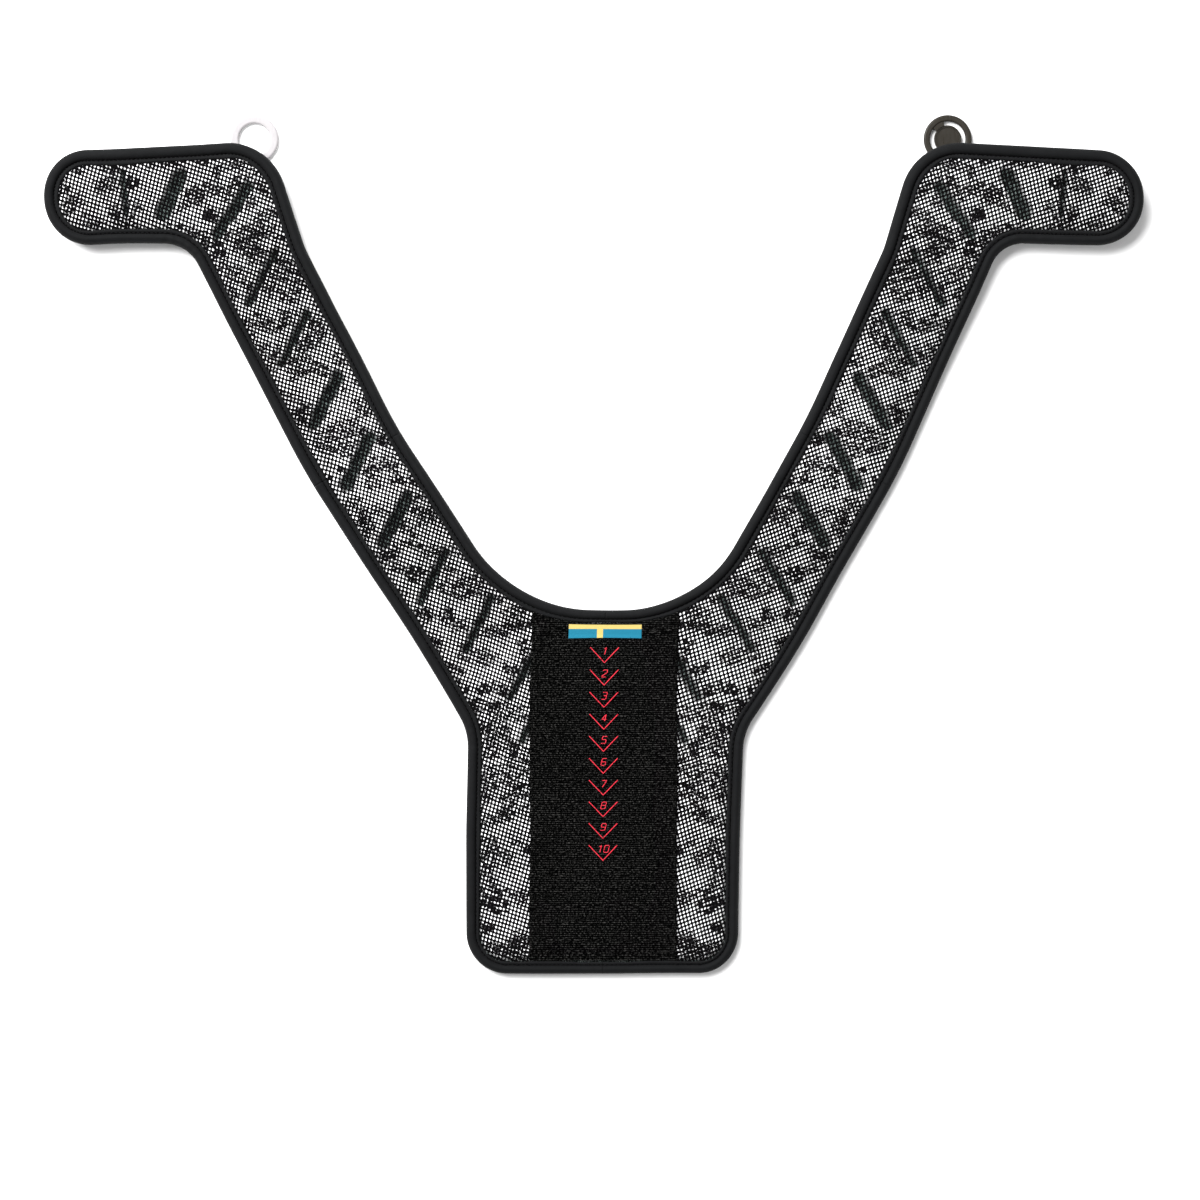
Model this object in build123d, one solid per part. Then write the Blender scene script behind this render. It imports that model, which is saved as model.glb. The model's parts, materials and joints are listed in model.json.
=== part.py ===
"""Padded mesh shoulder harness lying flat, body side up, one STEP file per node. Millimetres, +Z up, +Y towards the strap tips."""

import os
from math import atan2, cos, hypot, pi, radians, sin, tan

from build123d import *

os.makedirs("parts", exist_ok=True)

# Overall outline
OVERALL_WIDTH = 749.4
PANEL_WIDTH = 185.0
PANEL_FLARE = 1.7
ARMPIT_HEIGHT = 169.2
NECK_HEIGHT = 250.7
STRAP_WIDTH = 71.4
STRAP_BEND = (171.3, 359.6)
LOWER_TILT = 31.4
UPPER_TILT = 25.5
HOOK_LOW = 497.2
HOOK_HIGH = 561.2
HOOK_LOW_TILT = -1.5
HOOK_TOP_TILT = -3.0
SHOULDER_POINT = (194.5, 488.4)
SHOULDER_TILT = 17.4

# Corner radii
PANEL_CORNER_R = 27.5
ARMPIT_R = 41.0
BEND_R = 400.0
HOOK_INNER_R = 24.0
TIP_SHARE = 0.497
TOP_CORNER_R = 41.0
SHOULDER_R = 70.0
NECK_R = 89.0

# Stack of layers
BINDING_WRAP = 1.2
SHELL_THICK = 1.0
FOAM_THICK = 5.2
LINER_THICK = 0.4
MESH_THICK = 1.0
BINDING_ROLL = 3.0
BINDING_WIDTH = 10.5
BINDING_ROUND = 3.6

# Foam slots
SLOT_LENGTH = 45.0
SLOT_WIDTH = 6.5
SLOT_TILT = 28.5
SLOT_PITCH = 46.6
SLOTS_ABOVE_BEND = 3
SLOTS_BELOW_BEND = 3
FIRST_SLOT_ABOVE = 35.8
PANEL_SLOTS = ((87.7, 239.8), (54.5, 206.0), (46.0, 176.0))
HOOK_SLOTS = ((245.9, 521.6, 45.0, 6.5, 35.0), (287.5, 532.5, 37.0, 9.0, 25.0), (319.5, 533.5, 32.0, 3.0, -5.0))

# Fold lines and the lift of the strap ends
SHOULDER_FOLD_AT = -78.0
CHEST_FOLD_AT = 59.0
FOLD_GAP = 0.3
END_LIFT = 3.3

# Pieces on top of the mesh
LOOP_PANEL_WIDTH = 100.0
LOOP_PANEL_THICK = 1.5
TAB_WIDTH = 50.0
TAB_LENGTH = 11.4
TAB_THICK = 0.7
CHEVRONS = 10
CHEVRON_TOP = 222.6
CHEVRON_PITCH = 15.0
CHEVRON_WIDTH = 19.6
CHEVRON_HEIGHT = 10.5
CHEVRON_LINE = 1.0
CHEVRON_THICK = 0.3

# Chest clasp
CLASP_X = 238.0
CLASP_Y = 572.0
CLASP_THICK = 4.0
CLASP_R = 16.5
RING_BORE_R = 10.8
FRAME_BORE_R = 12.2
DISC_R = 9.3
DISC_RIM = 1.2
DISC_THICK = 3.0
LATCH_FROM = 105.0
LATCH_TO = 145.0
LATCH_THICK = 4.4
BAR_Y = 550.5
BAR_Z = 2.6
BAR_R = 1.1
BAR_LENGTH = 14.0
LUG_WIDTH = 2.2
SLEEVE_BORE_R = 1.4
SLEEVE_R = 2.4
WEB_WIDTH = 8.8
TAB_STRIP_FROM = 518.0
TAB_STRIP_TO = 540.0

SHELL_Z = BINDING_WRAP
FOAM_Z = SHELL_Z + SHELL_THICK
LINER_Z = FOAM_Z + FOAM_THICK
MESH_Z = LINER_Z + LINER_THICK
CORE_TOP = MESH_Z + MESH_THICK
TOTAL_THICK = CORE_TOP + BINDING_WRAP
PILE_TOP = CORE_TOP + LOOP_PANEL_THICK
FAR = 600.0
CENTRE_Y = (CLASP_Y + CLASP_R) / 2


def heading(tilt: float) -> tuple[float, float]:
    """Unit vector leaning tilt degrees from +Y towards +X."""
    return sin(radians(tilt)), cos(radians(tilt))


def along(start: tuple, direction: tuple, distance: float, aside: float = 0.0) -> tuple[float, float]:
    """Point at a distance along a direction and aside to its right."""
    dx, dy = direction
    return start[0] + dx * distance + dy * aside, start[1] + dy * distance - dx * aside


def outline_lines() -> list[tuple[tuple, tuple]]:
    """Straight runs of the outline, counter-clockwise from the bottom edge, each a point and a heading."""
    low, high = heading(LOWER_TILT), heading(UPPER_TILT)
    half, side = OVERALL_WIDTH / 2, hypot(PANEL_FLARE, ARMPIT_HEIGHT)
    shoulder = heading(SHOULDER_TILT)
    bottom = ((0.0, 0.0), (1.0, 0.0))
    neck = ((0.0, NECK_HEIGHT), (-1.0, 0.0))
    right = [
        ((PANEL_WIDTH / 2, 0.0), (PANEL_FLARE / side, ARMPIT_HEIGHT / side)),
        (along(STRAP_BEND, low, 0.0, STRAP_WIDTH / 2), low),
        (along(STRAP_BEND, high, 0.0, STRAP_WIDTH / 2), high),
        ((half, HOOK_LOW), heading(90.0 - HOOK_LOW_TILT)),
        ((half, 0.0), (0.0, 1.0)),
        ((half, HOOK_HIGH), heading(-90.0 - HOOK_TOP_TILT)),
        (SHOULDER_POINT, (-shoulder[0], -shoulder[1])),
        (along(STRAP_BEND, high, 0.0, -STRAP_WIDTH / 2), (-high[0], -high[1])),
        (along(STRAP_BEND, low, 0.0, -STRAP_WIDTH / 2), (-low[0], -low[1])),
    ]
    left = [((-p[0], p[1]), (d[0], -d[1])) for p, d in reversed(right)]
    return [bottom, *right, neck, *left]


def corner_radii() -> list[float]:
    """Radius of the corner after each straight run."""
    tip = TIP_SHARE * (HOOK_HIGH - HOOK_LOW)
    right = [PANEL_CORNER_R, ARMPIT_R, BEND_R, HOOK_INNER_R, tip, tip, TOP_CORNER_R, SHOULDER_R, BEND_R, NECK_R]
    return [*right, *reversed(right)]


def crossing(a: tuple, b: tuple) -> tuple[float, float]:
    """Point where two lines, each a point and a heading, cross."""
    (ax, ay), (ux, uy) = a
    (bx, by), (vx, vy) = b
    t = ((bx - ax) * vy - (by - ay) * vx) / (ux * vy - uy * vx)
    return ax + ux * t, ay + uy * t


def outline(inset: float) -> Face:
    """Face bounded by the outline moved inwards by inset, with arcs at its corners."""
    runs = [(along(p, d, 0.0, -inset), d) for p, d in outline_lines()]
    arcs = []
    for i, radius in enumerate(corner_radii()):
        (_, u), (_, v) = runs[i], runs[(i + 1) % len(runs)]
        corner = crossing(runs[i], runs[(i + 1) % len(runs)])
        turn = atan2(u[0] * v[1] - u[1] * v[0], u[0] * v[0] + u[1] * v[1])
        r = radius - inset if turn > 0 else radius + inset
        reach = r * tan(abs(turn) / 2)
        middle = r / cos(turn / 2) - r
        bx, by = v[0] - u[0], v[1] - u[1]
        size = hypot(bx, by)
        start, end = along(corner, u, -reach), along(corner, v, reach)
        arcs.append((start, (corner[0] + bx / size * middle, corner[1] + by / size * middle), end))
    edges = []
    for i, (start, mid, end) in enumerate(arcs):
        edges.append(ThreePointArc(start, mid, end))
        edges.append(Line(end, arcs[(i + 1) % len(arcs)][0]))
    return make_face(edges)


def slab(face: Face, low: float, high: float) -> Part:
    """The face raised from low to high."""
    return Pos(0, 0, low) * extrude(face, high - low, dir=(0, 0, 1))


def polygon(points: list, low: float, high: float) -> Part:
    """Prism on a closed polygon."""
    return slab(make_face(Polyline(*points, close=True)), low, high)


def path_point(distance: float) -> tuple[float, float]:
    """Point on the right strap's centre line, distance measured from its bend."""
    return along(STRAP_BEND, heading(UPPER_TILT if distance > 0 else LOWER_TILT), distance)


def beyond(distance: float, shift: float) -> Part:
    """Everything of the right strap past the fold line at a distance, with the line moved by shift."""
    way = heading(UPPER_TILT if distance > 0 else LOWER_TILT)
    start = path_point(distance)
    corners = [along(start, way, d, a) for d, a in ((shift, -120), (shift, 320), (FAR, 320), (FAR, -120))]
    return polygon(corners, -50, 100)


def slot_spots() -> list[tuple]:
    """Centre, length, width and lean of every foam slot on the right."""
    ups = [FIRST_SLOT_ABOVE + SLOT_PITCH * i for i in range(SLOTS_ABOVE_BEND)]
    downs = [FIRST_SLOT_ABOVE - SLOT_PITCH * (i + 1) for i in range(SLOTS_BELOW_BEND)]
    spots = [(*path_point(d), SLOT_LENGTH, SLOT_WIDTH, SLOT_TILT) for d in ups + downs]
    spots += [(x, y, SLOT_LENGTH, SLOT_WIDTH, SLOT_TILT) for x, y in PANEL_SLOTS]
    return [*spots, *HOOK_SLOTS]


def slots(low: float, high: float) -> list[Part]:
    """Cutters for the slots on both sides."""
    cutters = []
    for x, y, length, width, lean in slot_spots():
        for side in (1, -1):
            cutters.append(slab(Pos(side * x, y) * Rot(0, 0, 90 + side * lean) * SlotOverall(length, width), low, high))
    return cutters


def binding() -> Part:
    """Tape folded round the whole edge, open to the middle."""
    body = slab(outline(0), 0, TOTAL_THICK)
    rims = body.faces().sort_by(Axis.Z)[0].outer_wire().edges() + body.faces().sort_by(Axis.Z)[-1].outer_wire().edges()
    body = fillet(rims, BINDING_ROUND)
    return body - slab(outline(BINDING_ROLL), SHELL_Z, CORE_TOP) - slab(outline(BINDING_WIDTH), -1, TOTAL_THICK + 1)


def layers() -> dict[str, Part]:
    """Every layer of the whole harness, uncut."""
    face = outline(BINDING_ROLL)
    cutters = slots(FOAM_Z - 0.5, MESH_Z + 0.5)
    return {
        "shell": slab(face, SHELL_Z, FOAM_Z),
        "foam": slab(face, FOAM_Z, LINER_Z) - cutters,
        "liner": slab(face, LINER_Z, MESH_Z) - cutters,
        "mesh": slab(face, MESH_Z, CORE_TOP),
        "binding": binding(),
    }


def lift(part: Part) -> Part:
    """The right strap end raised about its fold line."""
    x, y = path_point(CHEST_FOLD_AT)
    dx, dy = heading(UPPER_TILT)
    return part.rotate(Axis((x, y, TOTAL_THICK), (-dy, dx, 0)), -END_LIFT)


def strap_pieces(whole: dict[str, Part]) -> dict[str, Part]:
    """The right strap's layers, cut at the two fold lines."""
    half = FOLD_GAP / 2
    shoulder = beyond(SHOULDER_FOLD_AT, half) - beyond(CHEST_FOLD_AT, -half)
    chest = beyond(CHEST_FOLD_AT, half)
    pieces = {}
    for layer, part in whole.items():
        near = part & shoulder
        if layer == "binding":
            runs = near.solids().sort_by(Axis.X)
            pieces["shoulder_binding_inner"], pieces["shoulder_binding_outer"] = runs[0], runs[-1]
        else:
            pieces[f"shoulder_{layer}"] = near
        pieces[f"chest_{layer}"] = lift(part & chest)
    return pieces


def panel_pieces(whole: dict[str, Part]) -> dict[str, Part]:
    """The back panel's layers and what lies on them."""
    past = beyond(SHOULDER_FOLD_AT, -FOLD_GAP / 2)
    pieces = {}
    for layer, part in whole.items():
        left = part - past - mirror(past, Plane.YZ)
        if layer == "binding":
            runs = left.solids().sort_by(Axis.Y)
            pieces["panel_binding_outer"], pieces["panel_binding_neck"] = runs[0], runs[-1]
        else:
            pieces[f"panel_{layer}"] = left
    tab, scale = woven_tab(), size_scale()
    return {**pieces, "loop_panel": loop_panel() - tab - scale, "woven_tab": tab, "size_scale": scale}


def loop_panel() -> Part:
    """Strip of loop pile between the neck binding and the bottom binding."""
    half = LOOP_PANEL_WIDTH / 2
    strip = polygon([(-half, -FAR), (half, -FAR), (half, FAR), (-half, FAR)], CORE_TOP, PILE_TOP)
    return slab(outline(BINDING_WIDTH), CORE_TOP, PILE_TOP) & strip


def woven_tab() -> Part:
    """Tab against the neck binding, pressed into the pile until it is level with it."""
    top = NECK_HEIGHT - BINDING_WIDTH
    half = TAB_WIDTH / 2
    corners = [(-half, top - TAB_LENGTH), (half, top - TAB_LENGTH), (half, top), (-half, top)]
    return polygon(corners, PILE_TOP - TAB_THICK, PILE_TOP)


def size_scale() -> Part:
    """Chevrons one above the other, level with the pile."""
    marks = []
    for i in range(CHEVRONS):
        top = CHEVRON_TOP - CHEVRON_PITCH * i
        half, tip = CHEVRON_WIDTH / 2, top - CHEVRON_HEIGHT
        points = [(-half, top), (0, tip + CHEVRON_LINE * 2), (half, top), (half, top - CHEVRON_LINE * 2), (0, tip), (-half, top - CHEVRON_LINE * 2)]
        marks.append(polygon(points, PILE_TOP - CHEVRON_THICK, PILE_TOP))
    return marks[0] + marks[1:]


def clasp_lug() -> Part:
    """Bar for the webbing tab and the two arms that carry it, under the strap's top corner."""
    bar = Pos(CLASP_X, BAR_Y, BAR_Z) * Rot(0, 90, 0) * Cylinder(BAR_R, BAR_LENGTH)
    arms = []
    for side in (-1, 1):
        x = CLASP_X + side * (BAR_LENGTH - LUG_WIDTH) / 2
        arms.append(Pos(x, BAR_Y + (CLASP_Y - BAR_Y - RING_BORE_R) / 2, BAR_Z - 0.6) * Box(LUG_WIDTH, CLASP_Y - BAR_Y - RING_BORE_R, 3.4))
    tip = [Pos(CLASP_X + side * (BAR_LENGTH - LUG_WIDTH) / 2, BAR_Y, BAR_Z) * Rot(0, 90, 0) * Cylinder(2.2, LUG_WIDTH) for side in (-1, 1)]
    return bar + arms + tip


def clasp_ring(bore: float) -> Part:
    """Ring with its lug, rims rounded."""
    ring = Cylinder(CLASP_R, CLASP_THICK) - Cylinder(bore, CLASP_THICK)
    ring = fillet(ring.edges().filter_by(GeomType.CIRCLE), 1.2)
    ring = Pos(CLASP_X, CLASP_Y, CLASP_THICK / 2) * ring
    cleared = clasp_lug() - Pos(CLASP_X, CLASP_Y, CLASP_THICK / 2) * Cylinder(bore + 1.3, 3 * CLASP_THICK)
    return ring + cleared


def latch_sector(radius: float, low: float, high: float) -> Part:
    """Sector between the latch's two end angles."""
    reach = 2 * radius
    spread = [(CLASP_X, CLASP_Y)]
    for angle in (LATCH_FROM, (LATCH_FROM + LATCH_TO) / 2, LATCH_TO):
        spread.append((CLASP_X + reach * cos(radians(angle)), CLASP_Y + reach * sin(radians(angle))))
    return polygon(spread, low, high)


def dark_clasp() -> dict[str, Part]:
    """Whole frame ring, centre disc and the latch block that joins them inside the ring."""
    centre = Pos(CLASP_X, CLASP_Y, 0)
    sector = latch_sector(CLASP_R, -1, 10)
    frame = clasp_ring(FRAME_BORE_R)
    disc = centre * Pos(0, 0, 0.5 + DISC_THICK / 2) * Cylinder(DISC_R, DISC_THICK)
    dish = centre * Pos(0, 0, 0.5 + DISC_THICK) * Cylinder(DISC_R - DISC_RIM, 1.2)
    tube = Cylinder(FRAME_BORE_R, LATCH_THICK) - Cylinder(DISC_R, LATCH_THICK)
    block = centre * Pos(0, 0, LATCH_THICK / 2) * tube & sector
    return {"clasp_frame": frame, "clasp_disc": disc - dish, "clasp_latch": block}


def clasp_tab() -> Part:
    """Webbing from under the strap end down and round the clasp's bar."""
    strip = polygon([(CLASP_X + s * WEB_WIDTH / 2, y) for s, y in ((-1, TAB_STRIP_FROM), (1, TAB_STRIP_FROM), (1, TAB_STRIP_TO), (-1, TAB_STRIP_TO))], 0, SHELL_Z)
    strip = lift(strip)
    sleeve = Pos(CLASP_X, BAR_Y, BAR_Z) * Rot(0, 90, 0) * Cylinder(SLEEVE_R, WEB_WIDTH)
    low = strip.bounding_box().min.Z
    profile = Plane.YZ * Polyline((BAR_Y, BAR_Z + SLEEVE_R), (BAR_Y - SLEEVE_R, BAR_Z), (TAB_STRIP_TO - 6, low + 0.5), (TAB_STRIP_TO - 3, low + 1.0), close=True)
    web = Pos(CLASP_X - WEB_WIDTH / 2, 0, 0) * extrude(make_face(profile), WEB_WIDTH, dir=(1, 0, 0))
    bore = Pos(CLASP_X, BAR_Y, BAR_Z) * Rot(0, 90, 0) * Cylinder(SLEEVE_BORE_R, WEB_WIDTH + 2)
    return strip + web + sleeve - bore


def save(name: str, part: Part) -> None:
    """Writes one node's solids, with the origin under the middle of the whole."""
    solids = (Pos(0, -CENTRE_Y, 0) * part).solids()
    export_step(solids[0] if len(solids) == 1 else Compound(solids), f"parts/{name}.step")


def main() -> None:
    """Builds and writes every node."""
    whole = layers()
    for name, part in panel_pieces(whole).items():
        save(name, part)
    for name, part in strap_pieces(whole).items():
        save(f"right_{name}", part)
        save(f"left_{name}", mirror(part, Plane.YZ))
    for name, part in dark_clasp().items():
        save(f"right_{name}", part)
    save("left_clasp_ring", mirror(clasp_ring(RING_BORE_R), Plane.YZ))
    tab = clasp_tab()
    save("right_clasp_tab", tab)
    save("left_clasp_tab", mirror(tab, Plane.YZ))


if __name__ == "__main__":
    main()
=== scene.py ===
"""Padded mesh shoulder harness: a back panel and two hooked shoulder straps, lying flat with the body side up.

Sizes are in millimetres in the maker's plan, with X across, Y from the panel's bottom edge to the strap tips and Z up.
The bench that places each piece turns them into metres in the frame of the CAD model.
"""

import json
import logging
from dataclasses import dataclass, field, replace
from enum import Enum
from functools import partial, reduce
from typing import ClassVar

import bpy
import numpy as np
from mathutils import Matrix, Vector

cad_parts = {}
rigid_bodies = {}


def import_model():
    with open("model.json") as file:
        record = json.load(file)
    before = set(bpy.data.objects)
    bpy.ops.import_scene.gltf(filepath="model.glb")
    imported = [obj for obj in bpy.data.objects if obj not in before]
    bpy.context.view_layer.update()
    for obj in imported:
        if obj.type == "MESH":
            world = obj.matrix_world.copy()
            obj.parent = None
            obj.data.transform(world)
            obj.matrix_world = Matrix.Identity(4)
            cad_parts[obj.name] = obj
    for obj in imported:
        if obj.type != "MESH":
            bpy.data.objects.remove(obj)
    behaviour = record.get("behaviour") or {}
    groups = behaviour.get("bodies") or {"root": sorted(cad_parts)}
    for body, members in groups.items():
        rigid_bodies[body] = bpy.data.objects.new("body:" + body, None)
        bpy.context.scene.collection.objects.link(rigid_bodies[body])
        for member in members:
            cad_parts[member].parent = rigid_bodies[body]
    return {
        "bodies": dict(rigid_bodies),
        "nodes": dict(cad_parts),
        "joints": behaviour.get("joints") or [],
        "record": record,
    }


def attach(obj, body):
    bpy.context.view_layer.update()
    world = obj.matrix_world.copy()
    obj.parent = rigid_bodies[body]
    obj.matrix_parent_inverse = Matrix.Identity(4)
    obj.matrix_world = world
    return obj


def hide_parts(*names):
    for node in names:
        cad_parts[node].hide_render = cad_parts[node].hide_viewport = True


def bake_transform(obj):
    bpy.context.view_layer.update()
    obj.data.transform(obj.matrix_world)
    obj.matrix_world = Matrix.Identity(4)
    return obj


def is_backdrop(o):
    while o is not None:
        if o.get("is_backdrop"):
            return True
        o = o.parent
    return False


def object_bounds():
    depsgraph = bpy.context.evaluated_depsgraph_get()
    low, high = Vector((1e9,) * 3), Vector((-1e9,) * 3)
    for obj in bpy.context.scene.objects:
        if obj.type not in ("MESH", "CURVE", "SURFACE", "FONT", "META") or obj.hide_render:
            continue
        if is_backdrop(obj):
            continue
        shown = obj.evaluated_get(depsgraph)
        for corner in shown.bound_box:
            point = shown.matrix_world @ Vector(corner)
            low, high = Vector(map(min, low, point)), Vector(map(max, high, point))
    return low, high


LOG = logging.getLogger("harness")
MM = 0.001
UP = np.array([0.0, 0.0, 1.0])


class Side(Enum):
    """The two straps."""

    RIGHT = 1
    LEFT = -1

    @property
    def word(self) -> str:
        """Name used in piece and body names."""
        return self.name.lower()


class Reach(Enum):
    """The two halves of a strap's layers, each of which bends at one fold line."""

    PANEL = "panel"
    CHEST = "chest"


# ---------------------------------------------------------------- numbers and noise


class SmoothField:
    """Seeded value noise: random heights on a square grid, joined by smooth steps."""

    def __init__(self, seed: int, cell: float, size: int = 128) -> None:
        """Makes the table of heights.

        Args:
            seed: number that fixes the pattern.
            cell: distance between grid points in millimetres.
            size: grid points before the pattern repeats.
        """
        self.table = np.random.default_rng(seed).uniform(-1.0, 1.0, (size, size))
        self.cell = cell
        self.size = size

    def at(self, x: np.ndarray, y: np.ndarray) -> np.ndarray:
        """Height at each point, from -1 to 1: the four corners of its cell weighted by 3t^2 - 2t^3 each way."""
        gx, gy = np.asarray(x) / self.cell + 0.5 * self.size, np.asarray(y) / self.cell + 0.5 * self.size
        ix, iy = np.floor(gx).astype(int), np.floor(gy).astype(int)
        fx, fy = gx - ix, gy - iy
        fx, fy = fx * fx * (3 - 2 * fx), fy * fy * (3 - 2 * fy)
        x0, x1, y0, y1 = ix % self.size, (ix + 1) % self.size, iy % self.size, (iy + 1) % self.size
        t = self.table
        low = t[x0, y0] * (1 - fx) + t[x1, y0] * fx
        high = t[x0, y1] * (1 - fx) + t[x1, y1] * fx
        return low * (1 - fy) + high * fy


def smooth_step(value: np.ndarray, low: float, high: float) -> np.ndarray:
    """0 below low, 1 above high and 3t^2 - 2t^3 between."""
    t = np.clip((np.asarray(value, float) - low) / (high - low), 0.0, 1.0)
    return t * t * (3 - 2 * t)


def heading(tilt: float) -> np.ndarray:
    """Unit vector leaning tilt degrees from +Y towards +X."""
    return np.array([np.sin(np.radians(tilt)), np.cos(np.radians(tilt))])


def right_of(way: np.ndarray) -> np.ndarray:
    """Unit vector to the right of a heading."""
    return np.array([way[1], -way[0]])


def walked(path: np.ndarray) -> np.ndarray:
    """Length along a path at each of its points, from 0."""
    return np.concatenate([[0.0], np.cumsum(np.linalg.norm(np.diff(path, axis=0), axis=1))])


def repeated(faces: np.ndarray, size: int, count: int) -> np.ndarray:
    """Faces of one small shape of a size in points, repeated for a count of such shapes stored in a row."""
    return (faces[None] + size * np.arange(count)[:, None, None]).reshape(-1, faces.shape[1])


# ---------------------------------------------------------------- shapes


@dataclass
class Shape:
    """Points in millimetres with the quads and triangles on them.

    A UV pair and any named number may go with each point.
    """

    points: np.ndarray
    quads: np.ndarray = field(default_factory=lambda: np.zeros((0, 4), int))
    tris: np.ndarray = field(default_factory=lambda: np.zeros((0, 3), int))
    uv: np.ndarray | None = None
    marks: dict[str, np.ndarray] = field(default_factory=dict)

    def mirrored(self) -> "Shape":
        """The same shape on the other side of the middle, with its faces turned to point outwards again."""
        points = self.points * np.array([-1.0, 1.0, 1.0])
        return replace(self, points=points, quads=self.quads[:, ::-1], tris=self.tris[:, ::-1])

    def on(self, side: Side) -> "Shape":
        """The shape as it is for the right side, or mirrored for the left."""
        return self if side is Side.RIGHT else self.mirrored()


def joined(shapes: list[Shape]) -> Shape:
    """Several shapes as one, their points one after the other.

    Args:
        shapes: shapes that all have UVs or all have none.

    Returns:
        One shape.
    """
    starts = np.cumsum([0] + [len(s.points) for s in shapes[:-1]])
    uv = None if shapes[0].uv is None else np.concatenate([s.uv for s in shapes])
    marks = {k: np.concatenate([s.marks[k] for s in shapes]) for k in shapes[0].marks}
    return Shape(
        np.concatenate([s.points for s in shapes]),
        np.concatenate([s.quads + n for s, n in zip(shapes, starts)]),
        np.concatenate([s.tris + n for s, n in zip(shapes, starts)]),
        uv,
        marks,
    )


def grid_quads(rows: int, columns: int, wrap: bool = False) -> np.ndarray:
    """Quads on a grid of points stored row by row.

    Args:
        rows: number of rows.
        columns: number of points in a row.
        wrap: True to join each row's last point to its first.

    Returns:
        Array of four point numbers a quad, turning from columns to rows.
    """
    i, j = np.meshgrid(np.arange(rows - 1), np.arange(columns if wrap else columns - 1), indexing="ij")
    i, j = i.ravel(), j.ravel()
    k = (j + 1) % columns
    return np.stack([i * columns + j, i * columns + k, (i + 1) * columns + k, (i + 1) * columns + j], 1)


def slab_between(top: np.ndarray, bottom: np.ndarray) -> Shape:
    """Closed shape between two grids of points, with a wall of quads round the rim.

    Args:
        top: rows by columns by 3 points, whose rows turn anticlockwise into its columns seen from above.
        bottom: the same, below.

    Returns:
        The closed shape, its faces outwards.
    """
    rows, columns = top.shape[:2]
    n = rows * columns
    quads = grid_quads(rows, columns)
    rim = np.concatenate(
        [
            np.arange(columns),
            np.arange(1, rows) * columns + columns - 1,
            (rows - 1) * columns + np.arange(columns - 2, -1, -1),
            np.arange(rows - 2, 0, -1) * columns,
        ]
    )
    after = np.roll(rim, -1)
    wall = np.stack([rim, rim + n, after + n, after], 1)
    points = np.concatenate([top.reshape(-1, 3), bottom.reshape(-1, 3)])
    return Shape(points, np.concatenate([quads, quads[:, ::-1] + n, wall]))


def swept(path: np.ndarray, across: np.ndarray, up: np.ndarray, profile: np.ndarray) -> Shape:
    """Closed profile carried along a path, its ends closed with fans of triangles.

    Each point is the path's point plus the profile's first number times across plus its second times up.

    Args:
        path: n points.
        across: n unit vectors, or one for all.
        up: n unit vectors, or one for all.
        profile: m pairs round the closed profile, or n by m pairs where it changes on the way.

    Returns:
        The tube with UVs: metres along the path and share of the way round.
    """
    n = len(path)
    across, up = np.broadcast_to(across, (n, 3)), np.broadcast_to(up, (n, 3))
    profile = np.broadcast_to(profile, (n, *profile.shape[-2:]))
    m = profile.shape[1]
    points = (path[:, None] + profile[..., :1] * across[:, None] + profile[..., 1:] * up[:, None]).reshape(-1, 3)
    length = walked(path)
    uv = np.stack(np.meshgrid(length * MM, np.arange(m) / m, indexing="ij"), -1).reshape(-1, 2)
    ring, last = np.arange(m), (n - 1) * m
    centres = np.stack([points[:m].mean(0), points[last:].mean(0)])
    first_cap = np.stack([np.full(m, n * m), np.roll(ring, -1), ring], 1)
    last_cap = np.stack([np.full(m, n * m + 1), ring + last, np.roll(ring, -1) + last], 1)
    return Shape(
        np.concatenate([points, centres]),
        grid_quads(n, m, wrap=True),
        np.concatenate([first_cap, last_cap]),
        np.concatenate([uv, [[0.0, 0.0], [length[-1] * MM, 0.0]]]),
    )


def outward(shape: Shape) -> Shape:
    """The shape with its faces turned over if they enclose a negative volume."""
    p = shape.points
    tri = np.concatenate([shape.tris, shape.quads[:, [0, 1, 2]], shape.quads[:, [0, 2, 3]]])
    a, b, c = p[tri[:, 0]], p[tri[:, 1]], p[tri[:, 2]]
    if np.einsum("ij,ij->", a, np.cross(b, c)) < 0:
        return replace(shape, quads=shape.quads[:, ::-1], tris=shape.tris[:, ::-1])
    return shape


# ---------------------------------------------------------------- the maker's plan


@dataclass(frozen=True)
class EdgeLine:
    """Half of the harness's edge, sampled evenly, from the bottom centre round the right strap to the neck."""

    xy: np.ndarray
    angle: np.ndarray
    length: np.ndarray

    @property
    def inward(self) -> np.ndarray:
        """Unit vectors from the edge into the cloth."""
        return np.stack([-np.sin(self.angle), np.cos(self.angle)], 1)

    def inward_at(self, length: np.ndarray) -> np.ndarray:
        """Unit vectors in space from the edge into the cloth, at lengths along the edge."""
        angle = np.interp(length, self.length, self.angle)
        return np.stack([-np.sin(angle), np.cos(angle), np.zeros(len(angle))], 1)

    def nearest(self, x: float, y: float) -> float:
        """Length along the edge at its nearest point."""
        return float(self.length[np.argmin(np.hypot(self.xy[:, 0] - x, self.xy[:, 1] - y))])

    def point(self, length: np.ndarray, inset: float = 0.0) -> np.ndarray:
        """Points at lengths along the edge, moved inwards by inset."""
        x = np.interp(length, self.length, self.xy[:, 0])
        y = np.interp(length, self.length, self.xy[:, 1])
        a = np.interp(length, self.length, self.angle)
        return np.stack([x - np.sin(a) * inset, y + np.cos(a) * inset], -1)


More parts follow.
